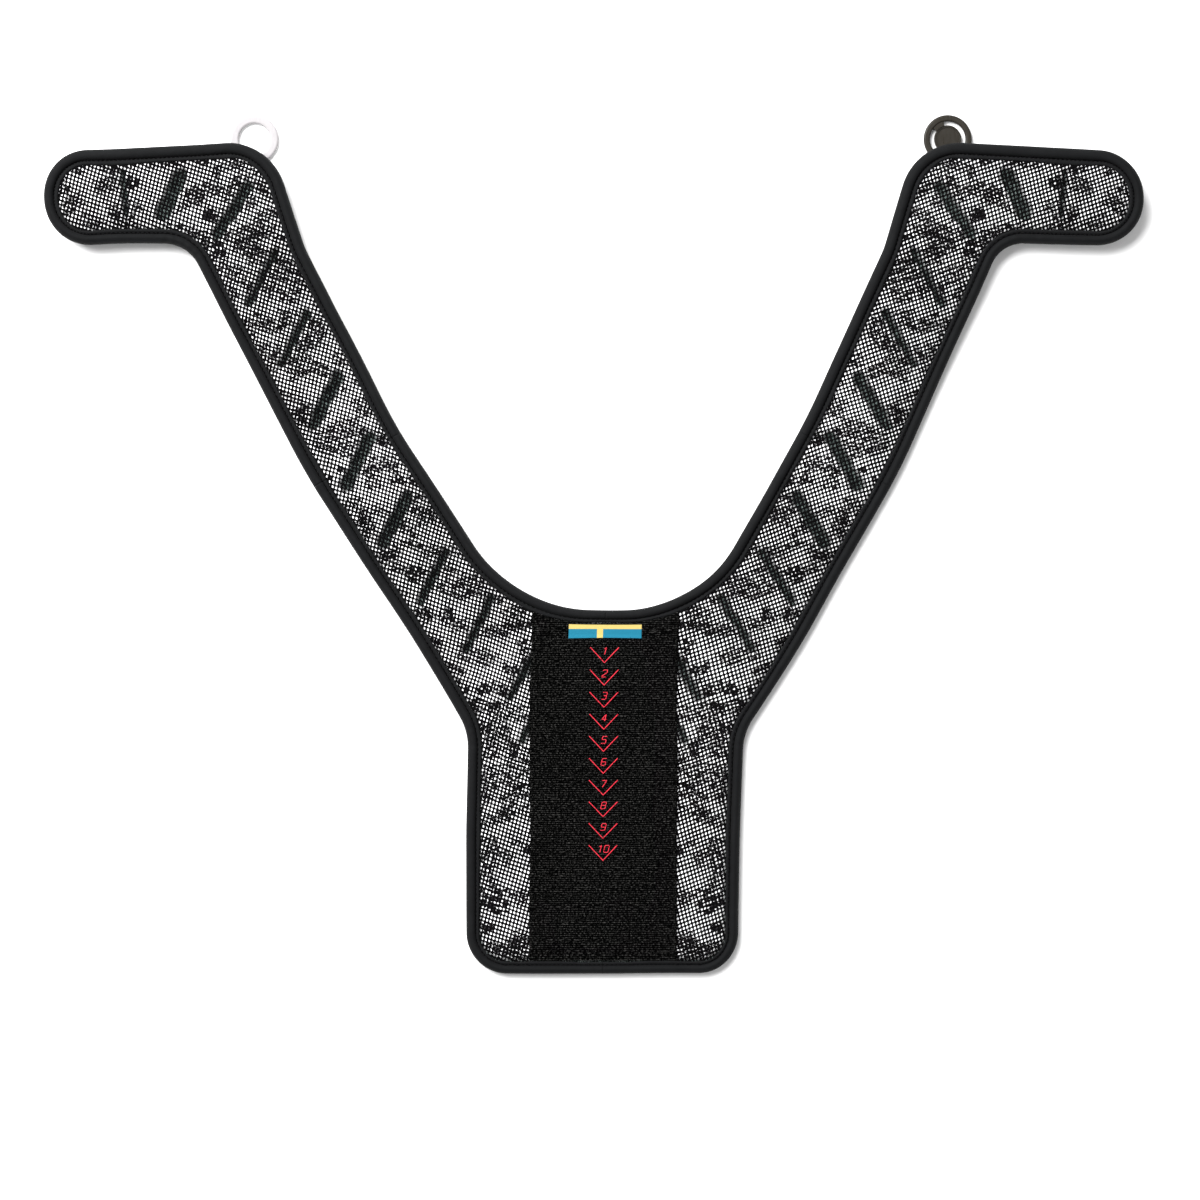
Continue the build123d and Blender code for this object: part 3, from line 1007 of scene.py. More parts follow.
@dataclass
class Bench:
    """Turns shapes into pieces of the scene, in metres in the CAD frame."""

    frame: dict
    plan: Plan
    base_y: float
    triangles: int = 0

    def row(self, points: np.ndarray) -> np.ndarray:
        """Plan millimetres as metres in the CAD frame."""
        return points * MM + np.array([0.0, self.base_y, 0.0])

    def make(self, name: str, shape: Shape, finish: Finish, smooth: bool = True, laid: bool = True) -> bpy.types.Object:
        """Makes a mesh object.

        Args:
            name: the piece's name.
            shape: its points and faces in plan millimetres.
            finish: its finish.
            smooth: True for smooth shading.
            laid: True where the piece lies as the cloth does.

        Returns:
            The new object, at the origin.
        """
        points = self.plan.laid(shape.points) if laid else shape.points
        mesh = bpy.data.meshes.new(name)
        mesh.vertices.add(len(shape.points))
        mesh.vertices.foreach_set("co", self.row(points).astype(np.float32).ravel())
        loops = np.concatenate([shape.quads.ravel(), shape.tris.ravel()]).astype(np.int32)
        sizes = np.concatenate([np.full(len(shape.quads), 4), np.full(len(shape.tris), 3)])
        mesh.loops.add(len(loops))
        mesh.loops.foreach_set("vertex_index", loops)
        mesh.polygons.add(len(sizes))
        mesh.polygons.foreach_set("loop_start", np.concatenate([[0], np.cumsum(sizes)[:-1]]).astype(np.int32))
        mesh.polygons.foreach_set("use_smooth", np.full(len(sizes), smooth))
        if shape.uv is not None:
            layer = mesh.uv_layers.new(name="UVMap")
            layer.data.foreach_set("uv", shape.uv[loops].astype(np.float32).ravel())
        for key, values in shape.marks.items():
            mesh.attributes.new(key, "FLOAT", "POINT").data.foreach_set("value", values.astype(np.float32))
        mesh.update(calc_edges=True)
        mesh.validate()
        mesh.materials.append(finish.material())
        piece = bpy.data.objects.new(name, mesh)
        bpy.context.scene.collection.objects.link(piece)
        count = 2 * len(shape.quads) + len(shape.tris)
        self.triangles += count
        LOG.info("%s: %d triangles", name, count)
        return piece

    def bend(self, piece: bpy.types.Object, side: Side, reach: Reach) -> bpy.types.Object:
        """Works out the strap's fold line and the two bodies it joins, then only bakes the piece's placing into its
        mesh.

        Args:
            piece: the finished piece.
            side: which strap.
            reach: the half of the strap's layers it belongs to.

        Returns:
            The piece, its placing baked into its mesh.
        """
        plan, shoulder = self.plan, f"{side.word}_shoulder"
        if reach is Reach.PANEL:
            at, bodies = plan.shoulder_fold_at, ("back_panel", shoulder)
        else:
            at, bodies = plan.chest_fold_at, (shoulder, f"{side.word}_chest")
        for sign in (-1, 1):
            x, y = plan.path_point(at) + sign * plan.bend_ease * heading(plan.way_at(at))
        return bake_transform(piece)

    def layers(self, side: Side, reach: Reach, *names: str) -> list[str]:
        """CAD nodes of a strap's layers on one side of its parting, with the panel's where they run on into it."""
        if reach is Reach.CHEST:
            return [f"{side.word}_chest_{name}" for name in names]
        return [f"{side.word}_shoulder_{name}" for name in names] + [f"panel_{name}" for name in names]

    def by_reach(self, xy: np.ndarray) -> dict[Reach, np.ndarray]:
        """Which points on the right half belong to each half of the layers."""
        past = self.plan.past(xy, self.plan.middle_at) > 0
        return {Reach.PANEL: ~past, Reach.CHEST: past}


# ---------------------------------------------------------------- face net


@dataclass
class FaceNet:
    """Open net over the padding: a slanted lattice of oval holes, one cut per side, mirrored."""

    plan: Plan
    across: tuple[float, float] = (2.374, 0.856)
    upwards: tuple[float, float] = (-0.608, 2.588)
    hole_long: float = 1.04
    hole_short: float = 0.71
    hole_lean: float = 67.0
    thick: float = 0.30
    knot: float = 0.08
    drift: float = 0.9
    jitter: float = 0.25
    hidden_inset: float = 6.2
    low_corner: tuple[float, float] = (47.5, 5.0)
    high_corner: tuple[float, float] = (372.0, 562.0)

    @property
    def basis(self) -> np.ndarray:
        """The lattice's two steps, one a row."""
        return np.array([self.across, self.upwards])

    def wander(self, xy: np.ndarray) -> np.ndarray:
        """Slow drift of the lattice, so its rows aren't ruled lines."""
        x, y = xy.T
        shift_x = self.drift * DRIFT_X.at(x, y) + self.jitter * FINE_X.at(x, y)
        shift_y = self.drift * DRIFT_Y.at(x, y) + self.jitter * FINE_Y.at(x, y)
        return xy + np.stack([shift_x, shift_y], 1)

    def cells(self) -> tuple[np.ndarray, np.ndarray]:
        """Lattice numbers and centres of the cells that lie on the right half and aren't hidden."""
        i, j = np.meshgrid(np.arange(-40, 260), np.arange(-120, 260), indexing="ij")
        ij = np.stack([i.ravel(), j.ravel()], 1)
        centre = ij @ self.basis
        box = ((centre > self.low_corner) & (centre < self.high_corner)).all(1)
        ij, centre = ij[box], centre[box]
        keep = self.plan.inset_of(centre) > self.hidden_inset
        return ij[keep], centre[keep]

    def shape(self, ij: np.ndarray) -> Shape:
        """Lattice of those cells as one closed shape.

        Each cell is a ring of eight points on the threads' ridges, shared with its neighbours, and two rings
        of eight towards its hole: the hole's edge halfway down, and a shoulder between, so that each thread is
        round. The underside repeats the ridge points below.

        Args:
            ij: lattice numbers of the cells.

        Returns:
            The closed shape.
        """
        turn = np.array([[1, 0], [1, 1], [0, 1], [-1, 1], [-1, 0], [-1, -1], [0, -1], [1, -1]])
        outer_key = (2 * ij[:, None] + turn[None]).reshape(-1, 2)
        unique, index = np.unique(outer_key, axis=0, return_inverse=True)
        index = index.reshape(-1, 8)
        ridge, centre = self.wander(unique / 2 @ self.basis), self.wander(ij @ self.basis)
        x, y = centre.T
        size = 1 + 0.10 * FINE_X.at(x * 3, y * 3) + 0.08 * DRIFT_Y.at(x + 90, y)
        spoke = turn @ self.basis
        spoke = spoke / np.linalg.norm(spoke, axis=1)[:, None]
        lean = np.radians(self.hole_lean) + 0.2 * FINE_Y.at(x * 4, y * 4)
        off = np.arctan2(spoke[:, 1], spoke[:, 0])[None] - lean[:, None]
        radius = size[:, None] / np.sqrt((np.cos(off) / self.hole_long) ** 2 + (np.sin(off) / self.hole_short) ** 2)
        rim = centre[:, None] + radius[..., None] * spoke[None]
        shoulder = 0.42 * rim + 0.58 * ridge[index]
        n_ridge, n_cell = len(unique), len(ij)
        knot = np.where((unique % 2 == (1, 1)).all(1), self.knot, 0.0)

        def raised(xy: np.ndarray, lift: np.ndarray | float) -> np.ndarray:
            """Points at the net's height plus a lift."""
            z = self.plan.net_height(xy, self.plan.inset_of(xy)) + lift
            return np.column_stack([xy, z])

        top, bottom = raised(ridge, self.thick + knot), raised(ridge, -self.thick - knot)
        side, high = raised(rim.reshape(-1, 2), 0.0), raised(shoulder.reshape(-1, 2), 0.72 * self.thick)
        points = np.concatenate([top, bottom, side, high])
        k = np.arange(8)
        after = (k + 1) % 8
        rim_start = 2 * n_ridge + np.arange(n_cell)[:, None] * 8
        high_start = rim_start + 8 * n_cell
        bands = [
            (index, index[:, after]),
            (high_start + k, high_start + after),
            (rim_start + k, rim_start + after),
            (index + n_ridge, index[:, after] + n_ridge),
        ]
        quads = [np.stack([a, b, d, c], -1).reshape(-1, 4) for (a, b), (c, d) in zip(bands, bands[1:])]
        pairs = np.stack(bands[0], -1).reshape(-1, 2)
        key = np.sort(pairs, 1)
        _, first, count = np.unique(key, axis=0, return_index=True, return_counts=True)
        border = pairs[first[count == 1]]
        wall = np.stack([border[:, 1], border[:, 0], border[:, 0] + n_ridge, border[:, 1] + n_ridge], 1)
        return Shape(self.plan.lifted(points), np.concatenate([*quads, wall]))

    def build(self, bench: Bench) -> None:
        """Makes the net of both sides in two pieces a side."""
        ij, centre = self.cells()
        for reach, here in bench.by_reach(centre).items():
            shape = self.shape(ij[here])
            for side in Side:
                piece = bench.make(f"{side.word}_{reach.value}_net", shape.on(side), NET)
                bench.bend(piece, side, reach)
                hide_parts(*bench.layers(side, reach, "mesh"))


DRIFT_X, DRIFT_Y = SmoothField(21, 52.0), SmoothField(22, 52.0)
FINE_X, FINE_Y = SmoothField(23, 13.0), SmoothField(24, 13.0)


# ---------------------------------------------------------------- padding, liner and shell


@dataclass
class Padding:
    """Slotted foam with its white liner, and the shell under it."""

    plan: Plan
    rim_inset: float = 3.6
    row_step: float = 1.35
    columns: int = 52
    shell_step: float = 3.0
    shell_columns: int = 26
    slot_floor: float = 2.5
    shell_thick: float = 0.9
    layer_gap: float = 0.1

    def pad(self, rows: np.ndarray) -> Shape:
        """Foam and liner: the top is the liner's height, sinking to the slot floor within a slot.

        Args:
            rows: grid over the right half.

        Returns:
            The closed pad with its mark for the slots and for the painted shade along the edge.
        """
        xy = rows.reshape(-1, 2)
        inset, slot = self.plan.inset_of(xy), self.plan.slot_distance(xy)
        sunk = 1 - smooth_step(slot, -0.9, 0.35)
        top = self.plan.liner_height(xy, inset) * (1 - sunk) + self.slot_floor * sunk
        bottom = self.plan.shell_height(xy, inset) + self.shell_thick + self.layer_gap
        # The mark is 1 in the slots and in a band of painted shade along the edge, where the liner dips under the
        # binding.
        dark = np.maximum(1 - smooth_step(slot, -0.9, 0.5), 1 - smooth_step(inset, 8.8, 9.8))
        return replace(self.slab(rows, top, bottom), marks={"slot": np.concatenate([dark, np.zeros_like(dark)])})

    def slab(self, rows: np.ndarray, top: np.ndarray, bottom: np.ndarray) -> Shape:
        """Closed shape over a grid between two heights at each of its points, raised with the strap ends."""
        shape = slab_between(*(np.dstack([rows, z.reshape(rows.shape[:2])]) for z in (top, bottom)))
        return replace(shape, points=self.plan.lifted(shape.points))

    def shell(self, rows: np.ndarray) -> Shape:
        """Thin closed skin under the pad, its UVs the plan's own metres."""
        xy = rows.reshape(-1, 2)
        low = self.plan.shell_height(xy, self.plan.inset_of(xy))
        return replace(self.slab(rows, low + self.shell_thick, low), uv=np.tile(xy * MM, (2, 1)))

    def build(self, bench: Bench) -> None:
        """Makes pads and shells of both sides in two pieces a side."""
        rows, part = self.plan.half_rows(self.rim_inset, self.row_step, self.columns)
        skin, skin_part = self.plan.half_rows(self.rim_inset, self.shell_step, self.shell_columns)
        for reach in Reach:
            panel = reach is Reach.PANEL
            pad = outward(self.pad(rows[: part + 1] if panel else rows[part:]))
            shell = outward(self.shell(skin[: skin_part + 1] if panel else skin[skin_part:]))
            for side in Side:
                piece = bench.make(f"{side.word}_{reach.value}_pad", pad.on(side), LINER)
                bench.bend(piece, side, reach)
                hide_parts(*bench.layers(side, reach, "foam", "liner"))
                skin_piece = bench.make(f"{side.word}_{reach.value}_shell", shell.on(side), SHELL)
                bench.bend(skin_piece, side, reach)
                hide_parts(*bench.layers(side, reach, "shell"))


# ---------------------------------------------------------------- print on the liner


@dataclass
class LinerPrint:
    """Abstract dark print on the liner: scattered blocks of short dashes and a few bars."""

    plan: Plan
    seed: int = 5
    spacing: float = 15.5
    bare_share: float = 0.12
    block_share: float = 0.80
    raised: float = 0.09
    sunk: float = 0.12
    rim_gap: float = 10.0
    slot_gap: float = 1.6
    panel_side: float = 50.0

    def block(self, rng: np.random.Generator) -> np.ndarray:
        """Rows of short dashes: centre, length, width and angle of each about the block's own middle."""
        wide, tall, pitch = rng.uniform(12, 27), rng.uniform(6, 17), rng.uniform(1.45, 2.3)
        rows = max(2, int(tall / pitch))
        count = int(wide / 1.3)
        long = rng.uniform(0.7, 2.3, (rows, count))
        end = np.cumsum(long + rng.uniform(0.15, 0.5, (rows, count)), 1)
        u = end - long / 2 - wide / 2 + rng.uniform(0, 4, (rows, 1))
        v = (np.arange(rows)[:, None] - (rows - 1) / 2) * pitch + rng.normal(0, 0.12, (rows, count))
        thick = pitch * rng.uniform(0.5, 0.9, (rows, count))
        lean = np.where(rng.random((rows, count)) < 0.2, np.pi / 3, 0.0) + rng.normal(0, 0.1, (rows, count))
        keep = (end < wide) & (rng.random((rows, count)) > 0.08)
        return np.stack([u, v, long, thick, lean], -1)[keep]

    def blotch(self, rng: np.random.Generator) -> np.ndarray:
        """Oval patch of crossing dashes, in the same columns as a block."""
        n = int(rng.uniform(14, 34))
        radius, a = np.sqrt(rng.random(n)), rng.uniform(0, 2 * np.pi, n)
        u, v = rng.uniform(4, 8) * radius * np.cos(a), rng.uniform(3, 6) * radius * np.sin(a)
        return np.stack([u, v, rng.uniform(1.5, 4.0, n), rng.uniform(0.9, 1.7, n), rng.choice([0.3, 1.4, 2.4], n)], 1)

    def dashes(self) -> np.ndarray:
        """Centre, length, width and angle of every dash on the right half."""
        rng = np.random.default_rng(self.seed)
        gx, gy = np.meshgrid(np.arange(50, 372, self.spacing), np.arange(12, 565, self.spacing), indexing="ij")
        spots = np.stack([gx.ravel(), gy.ravel()], 1) + rng.uniform(-6, 6, (gx.size, 2))
        spots = spots[self.plan.inset_of(spots) > 4]
        out = []
        for x, y in spots:
            kind = rng.random()
            if kind < self.bare_share:
                continue
            marks = self.blotch(rng) if kind > self.block_share else self.block(rng)
            turn = np.radians(rng.uniform(-28, 28))
            c, s = np.cos(turn), np.sin(turn)
            u, v, long, thick, lean = marks.T
            out.append(np.stack([x + u * c - v * s, y + u * s + v * c, long, thick, lean + turn], 1))
        return np.concatenate(out)

    def shape(self, rows: np.ndarray) -> Shape:
        """Dashes as thin closed plates that follow the liner.

        Args:
            rows: centre, length, width and angle of each dash.

        Returns:
            One shape of eight points a dash.
        """
        corner = np.array([[-1, -1], [1, -1], [1, 1], [-1, 1]]) / 2
        u, v = np.moveaxis(corner[None] * rows[:, None, 2:4], -1, 0)
        c, s = np.cos(rows[:, 4])[:, None], np.sin(rows[:, 4])[:, None]
        xy = np.stack([u * c - v * s, u * s + v * c], -1) + rows[:, None, :2]
        flat = xy.reshape(-1, 2)
        z = self.plan.liner_height(flat, self.plan.inset_of(flat)).reshape(-1, 4)
        faces = [np.concatenate([xy, (z + lift)[..., None]], -1) for lift in (self.raised, -self.sunk)]
        points = np.concatenate(faces, 1).reshape(-1, 3)
        face = np.array([[0, 1, 2, 3], [7, 6, 5, 4], [0, 4, 5, 1], [1, 5, 6, 2], [2, 6, 7, 3], [3, 7, 4, 0]])
        return Shape(self.plan.lifted(points), repeated(face, 8, len(rows)))

    def build(self, bench: Bench) -> None:
        """Makes the print of both sides in two pieces a side."""
        rows = self.dashes()
        xy = rows[:, :2]
        clear = (self.plan.inset_of(xy) > self.rim_gap) & (self.plan.slot_distance(xy) > self.slot_gap)
        rows = rows[clear & (rows[:, 0] > self.panel_side)]
        for reach, here in bench.by_reach(rows[:, :2]).items():
            shape = self.shape(rows[here])
            for side in Side:
                piece = bench.make(f"{side.word}_{reach.value}_print", shape.on(side), PRINT, smooth=False)
                bench.bend(piece, side, reach)


# ---------------------------------------------------------------- binding


@dataclass
class Binding:
    """Tape folded round the edge: an outer roll, a stitched groove and a flange on each face."""

    plan: Plan
    step: float = 1.25
    wrinkle_pitch: float = 5.2
    groove_inset: float = 8.0
    groove_levels: tuple[float, float] = (8.0, 0.62)
    stitch_pitch: float = 3.0
    stitch_length: float = 2.1
    stitch_radius: float = 0.26
    stitch_slant: float = 0.16
    stitch_sides: int = 6
    profile: tuple = (
        (10.3, 8.0), (10.5, 8.35), (10.15, 8.75), (9.4, 8.95), (8.7, 8.85), (8.2, 8.35), (7.85, 7.5), (7.6, 6.7),
        (7.35, 6.75), (7.15, 7.7), (6.7, 8.8), (5.8, 9.6), (4.4, 9.95), (3.1, 9.75), (1.9, 9.05), (0.9, 7.9),
        (0.2, 6.4), (0.0, 5.0), (0.2, 3.5), (0.9, 2.0), (1.9, 0.85), (3.2, 0.15), (4.8, 0.0), (6.4, 0.1),
        (7.2, 0.45), (7.6, 0.75), (8.1, 0.5), (9.0, 0.3), (10.0, 0.35), (10.4, 0.65), (10.1, 1.0), (7.6, 1.5),
        (5.2, 1.2), (3.0, 2.2), (1.4, 4.9), (3.0, 7.3), (5.2, 7.4), (7.5, 5.9), (8.4, 7.2),
    )  # fmt: skip
    shares: tuple = (
        ((0, 0), 0.80), ((66, 0), 0.82), ((92.5, 45), 0.90), ((99, 177), 0.92), ((200, 340), 0.94),
        ((270, 480), 0.90), ((345, 497), 0.88), ((374, 530), 0.95), ((330, 563), 1.06), ((255, 567), 1.06),
        ((210, 535), 0.98), ((130, 370), 0.92), ((60, 260), 0.90), ((0, 250), 0.86),
    )  # fmt: skip

    def share(self, edge: EdgeLine, at: np.ndarray) -> np.ndarray:
        """Width of the tape as a share of its full width, by length along the edge."""
        knots = [edge.nearest(*spot) for spot, _ in self.shares]
        return np.interp(at, knots, [width for _, width in self.shares])

    def spans(self, edge: EdgeLine) -> dict[str, tuple[Reach, float, float]]:
        """Stretches of the right half's tape: reach, and first and last length along the edge."""
        plan = self.plan
        w = plan.strap_width / 2
        side = right_of(heading(plan.lower_tilt)) * w
        middle = plan.path_point(plan.middle_at)
        outer, inner = edge.nearest(*(middle + side)), edge.nearest(*(middle - side))
        return {
            "outer": (Reach.PANEL, 0.0, outer),
            "hook": (Reach.CHEST, outer, inner),
            "neck": (Reach.PANEL, inner, float(edge.length[-1])),
        }

    def stretch(self, edge: EdgeLine, first: float, last: float) -> Shape:
        """Tape between two lengths along the edge.

        The profile is carried along the edge, its first number inwards and its second up. The roll swells and
        shrinks slowly, puckers lightly between stitches and wrinkles where the edge turns inwards.

        Args:
            edge: the sampled edge.
            first: length where the stretch begins.
            last: length where it ends.

        Returns:
            The closed tape.
        """
        n = int((last - first) / self.step) + 1
        at = np.linspace(first, last, n)
        bend = np.gradient(edge.angle, edge.length)
        inner_turn = np.clip(-np.interp(at, edge.length, bend) * 24, 0, 1)[:, None]
        u, v = np.moveaxis(np.broadcast_to(self.profile, (n, len(self.profile), 2)), -1, 0)
        upper = v > 5
        flange = smooth_step(u, 8.2, 9.8)
        roll = np.exp(-(((u - 4.0) / 3.0) ** 2)) * upper
        wave = SmoothField(31, 16.0).at(at, np.zeros(n))[:, None]
        small = SmoothField(32, 3.2).at(at, np.zeros(n))[:, None]
        inset = u * self.share(edge, at)[:, None] + flange * (0.5 * wave + 0.22 * small)
        ripple = np.sin(at[:, None] / self.wrinkle_pitch * 2 * np.pi + 2.0 * wave) * inner_turn
        pucker = np.cos(at[:, None] / self.stitch_pitch * 2 * np.pi) * np.exp(-(((inset - 8.2) / 1.5) ** 2))
        height = v + (roll * (0.18 * wave + 0.07 * small + 0.22 * ripple) + 0.14 * pucker * upper)
        path = np.column_stack([edge.point(at), np.zeros(n)])
        shape = outward(swept(path, edge.inward_at(at), UP, np.stack([inset, height], -1)))
        shape.points[:, 2] = np.maximum(shape.points[:, 2], 0.0)
        shape.points = self.plan.lifted(shape.points)
        return shape

    def stitches(self, edge: EdgeLine, first: float, last: float) -> Shape:
        """Stitches along the groove on both faces between two lengths.

        A stitch is a short tube that rises from the cloth and returns to it, its height 1 - t^2 along its
        length t from -1 to 1, and closes to a point at each end.

        Args:
            edge: the sampled edge.
            first: length where the stretch begins.
            last: length where it ends.

        Returns:
            All the stitches as one shape.
        """
        starts = np.arange(first + 1.5, last - 1.0, self.stitch_pitch)
        n, m = len(starts), self.stitch_sides
        girth = np.array([0.25, 0.85, 1.0, 1.0, 0.85, 0.25])
        per = len(girth)
        t = np.linspace(-1, 1, per)
        around = (np.arange(m) / m * 2 * np.pi)[None, :, None]
        at = (starts[:, None] + t * self.stitch_length / 2).ravel()
        inward = edge.inward_at(at)
        inset = self.groove_inset * self.share(edge, at) + np.tile(self.stitch_slant * t, n)
        xy = edge.point(at) + inward[:, :2] * inset[:, None]
        radius = np.tile(self.stitch_radius * girth, n)[:, None, None]
        thread = radius * (np.cos(around) * inward[:, None] + np.sin(around) * UP)
        fan = np.array([[0, k + 1, k] for k in range(m - 2, 0, -1)])
        caps = np.concatenate([fan, fan[:, ::-1] + (per - 1) * m])
        quads, tris = repeated(grid_quads(per, m, wrap=True), per * m, n), repeated(caps, per * m, n)
        uv = np.stack([np.repeat(at * MM, m), np.tile(np.arange(m) / m, len(at))], 1)
        parts = []
        for level, sign in zip(self.groove_levels, (1.0, -1.0)):
            rise = np.tile(0.34 * (1 - t**2) - 0.06, n) * sign
            ring = np.column_stack([xy, level + rise])[:, None] + thread
            one = outward(Shape(ring.reshape(-1, 3), quads, tris, uv))
            one.points = self.plan.lifted(one.points)
            parts.append(one)
        return joined(parts)

    def build(self, bench: Bench) -> None:
        """Makes the tape and its stitching, three stretches a side."""
        edge = self.plan.edge(0.5)
        stood_for = {
            "outer": ("shoulder_binding_outer", "panel_binding_outer"),
            "hook": ("chest_binding",),
            "neck": ("shoulder_binding_inner", "panel_binding_neck"),
        }
        for name, (reach, first, last) in self.spans(edge).items():
            tape, seam = self.stretch(edge, first, last), self.stitches(edge, first, last)
            own, *shared = stood_for[name]
            for side in Side:
                piece = bench.make(f"{side.word}_{name}_binding", tape.on(side), BINDING)
                bench.bend(piece, side, reach)
                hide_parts(f"{side.word}_{own}", *shared)
                bench.bend(bench.make(f"{side.word}_{name}_stitching", seam.on(side), SEAM), side, reach)


# ---------------------------------------------------------------- what lies on the panel


@dataclass
class LoopPanel:
    """Loop pile down the middle: a ribbed backing and rows of small loops."""

    plan: Plan
    width: float = 100.0
    tuck: float = 9.3
    backing: float = 0.75
    across: int = 120
    along: int = 280
    row_pitch: float = 1.5
    loop_pitch: float = 1.22
    loop_height: float = 0.95
    loop_radius: float = 0.17
    root: float = 0.15
    covered_half: float = 25.4
    covered_length: float = 12.0

    def ends(self, x: np.ndarray) -> tuple[np.ndarray, np.ndarray]:
        """Lower and upper limit at each x, tucked under the binding: a straight line, and the neck arc moved in."""
        plan = self.plan
        turn, way = np.radians(90.0 - plan.lower_tilt), heading(plan.lower_tilt)
        inner = np.array(plan.strap_bend) - right_of(way) * plan.strap_width / 2
        corner = inner[0] - (inner[1] - plan.neck_height) / way[1] * way[0]
        centre_x = corner - plan.neck_r * np.tan(turn / 2)
        r = plan.neck_r + self.tuck
        aside = np.clip(np.abs(x) - centre_x, 0, None)
        return np.full_like(x, self.tuck), plan.neck_height + plan.neck_r - np.sqrt(r * r - aside**2)

    def ground(self, xy: np.ndarray) -> np.ndarray:
        """Height of the cloth under the pile."""
        side = np.stack([np.abs(xy[:, 0]), xy[:, 1]], 1)
        return self.plan.net_height(side, self.plan.inset_of(side)) + 0.5

    def base(self) -> Shape:
        """Backing: a slab between two grids, ribbed along each row of loops, thinner at its cut sides."""
        u = np.linspace(-1, 1, self.across)
        x = u * self.width / 2
        low, high = self.ends(x)
        v = np.linspace(0, 1, self.along)[:, None]
        grid = np.stack([np.broadcast_to(x, (self.along, self.across)), low + (high - low) * v], -1)
        xy = grid.reshape(-1, 2)
        ground = self.ground(xy)
        rib = 0.1 * np.sin(xy[:, 1] / self.row_pitch * 2 * np.pi)
        side = smooth_step(self.width / 2 - np.abs(xy[:, 0]), 0, 1.2)
        heights = (ground + (self.backing + rib) * (0.35 + 0.65 * side), ground)
        return outward(slab_between(*(np.dstack([grid, z.reshape(grid.shape[:2])]) for z in heights)))

    def loops(self, low_y: float, high_y: float) -> Shape:
        """Loops between two heights up the panel.

        Each loop is an arch: along it x is -cos and z is sin of an angle from 0 to 180 degrees, with three sides.

        Args:
            low_y: lower limit.
            high_y: upper limit.

        Returns:
            All the loops as one shape.
        """
        rng = np.random.default_rng(int(low_y) + 7)
        rows = np.arange(self.plan.binding_width, self.plan.neck_height + 20, self.row_pitch)
        cols = np.arange(-self.width / 2 + 0.6, self.width / 2 - 0.5, self.loop_pitch)
        gy, gx = np.meshgrid(rows, cols, indexing="ij")
        spot = np.stack([gx.ravel(), gy.ravel()], 1) + rng.normal(0, 0.14, (gx.size, 2))
        _, high = self.ends(spot[:, 0])
        keep = (spot[:, 1] < high - 0.8) & (spot[:, 1] >= low_y) & (spot[:, 1] < high_y) & ~self.covered(spot)
        spot = spot[keep]
        n = len(spot)
        turn, lean = (rng.normal(middle, spread, (n, 1)) for middle, spread in ((0, 0.45), (0.25, 0.22)))
        tall, half = self.loop_height * rng.uniform(0.75, 1.15, (n, 1)), rng.uniform(0.38, 0.56, (n, 1))
        a, sides = np.radians([0, 55, 90, 125, 180]), np.radians([90, 210, 330])[:, None]
        arch = np.stack([-np.cos(a) * half, np.sin(a) * (lean * tall), np.sin(a) * tall], -1)
        out = np.stack([-np.cos(a), np.zeros(5), np.sin(a)], -1)[:, None]
        ring = arch[:, :, None] + self.loop_radius * (np.cos(sides) * out + np.sin(sides) * np.array([0.0, 1.0, 0.0]))
        c, s = np.cos(turn)[..., None], np.sin(turn)[..., None]
        x = ring[..., 0] * c - ring[..., 1] * s + spot[:, 0, None, None]
        y = ring[..., 0] * s + ring[..., 1] * c + spot[:, 1, None, None]
        z = ring[..., 2] + (self.ground(spot) + self.backing - self.root)[:, None, None]
        quads = repeated(grid_quads(5, 3, wrap=True), 15, n)
        tris = repeated(np.array([[0, 2, 1], [12, 13, 14]]), 15, n)
        return outward(Shape(np.stack([x, y, z], -1).reshape(-1, 3), quads, tris))

    def covered(self, spot: np.ndarray) -> np.ndarray:
        """Which spots lie under the woven tab."""
        top = self.plan.neck_height - self.tuck
        return (np.abs(spot[:, 0]) < self.covered_half) & (spot[:, 1] > top - self.covered_length)

    def build(self, bench: Bench) -> None:
        """Makes the backing and two pieces of pile."""
        base = bench.make("loop_panel_backing", self.base(), PILE)
        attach(base, "back_panel")
        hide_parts("loop_panel")
        split = self.plan.neck_height / 2
        for name, low, high in (("lower", 0.0, split), ("upper", split, 400.0)):
            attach(bench.make(f"loop_pile_{name}", self.loops(low, high), PILE), "back_panel")


@dataclass
class WovenTab:
    """Two-colour woven tab tucked under the neck binding."""

    plan: Plan
    panel: LoopPanel
    width: float = 49.6
    length: float = 10.7
    tuck: float = 10.8
    thick: float = 0.55
    band_height: float = 3.5
    stripe: tuple[float, float] = (-5.7, -1.6)
    yarn_across: float = 0.62
    yarn_up: float = 0.42
    yarn_lift: float = 0.04
    curl: float = 0.45
    curl_length: float = 3.2

    def build(self, bench: Bench) -> None:
        """Makes the tab: a woven slab whose yarns cross as a checker of raised cells, slightly curled at its foot."""
        x = np.linspace(-self.width / 2, self.width / 2, 170)
        y = np.linspace(-self.length, 0, 60) + self.plan.neck_height - self.tuck
        gx, gy = np.meshgrid(x, y)
        xy = np.stack([gx.ravel(), gy.ravel()], 1)
        ground = self.panel.ground(xy) + self.panel.backing
        weave = self.yarn_lift * np.sin(gx / self.yarn_across * 2 * np.pi) * np.sin(gy / self.yarn_up * 2 * np.pi)
        foot = smooth_step(gy.min() + self.curl_length - gy, 0, self.curl_length)
        z = ground.reshape(gx.shape) + self.curl * foot + weave + self.thick + 0.12 * SWELL.at(gx * 3, gy * 3)
        shape = outward(slab_between(np.dstack([gx, gy, z]), np.dstack([gx, gy, z - self.thick])))
        band = (gy > gy.max() - self.band_height) | ((gx > self.stripe[0]) & (gx < self.stripe[1]))
        shape.marks["band"] = np.tile(band.ravel().astype(float), 2)
        piece = bench.make("woven_tab_cloth", shape, LABEL)
        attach(piece, "back_panel")
        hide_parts("woven_tab")


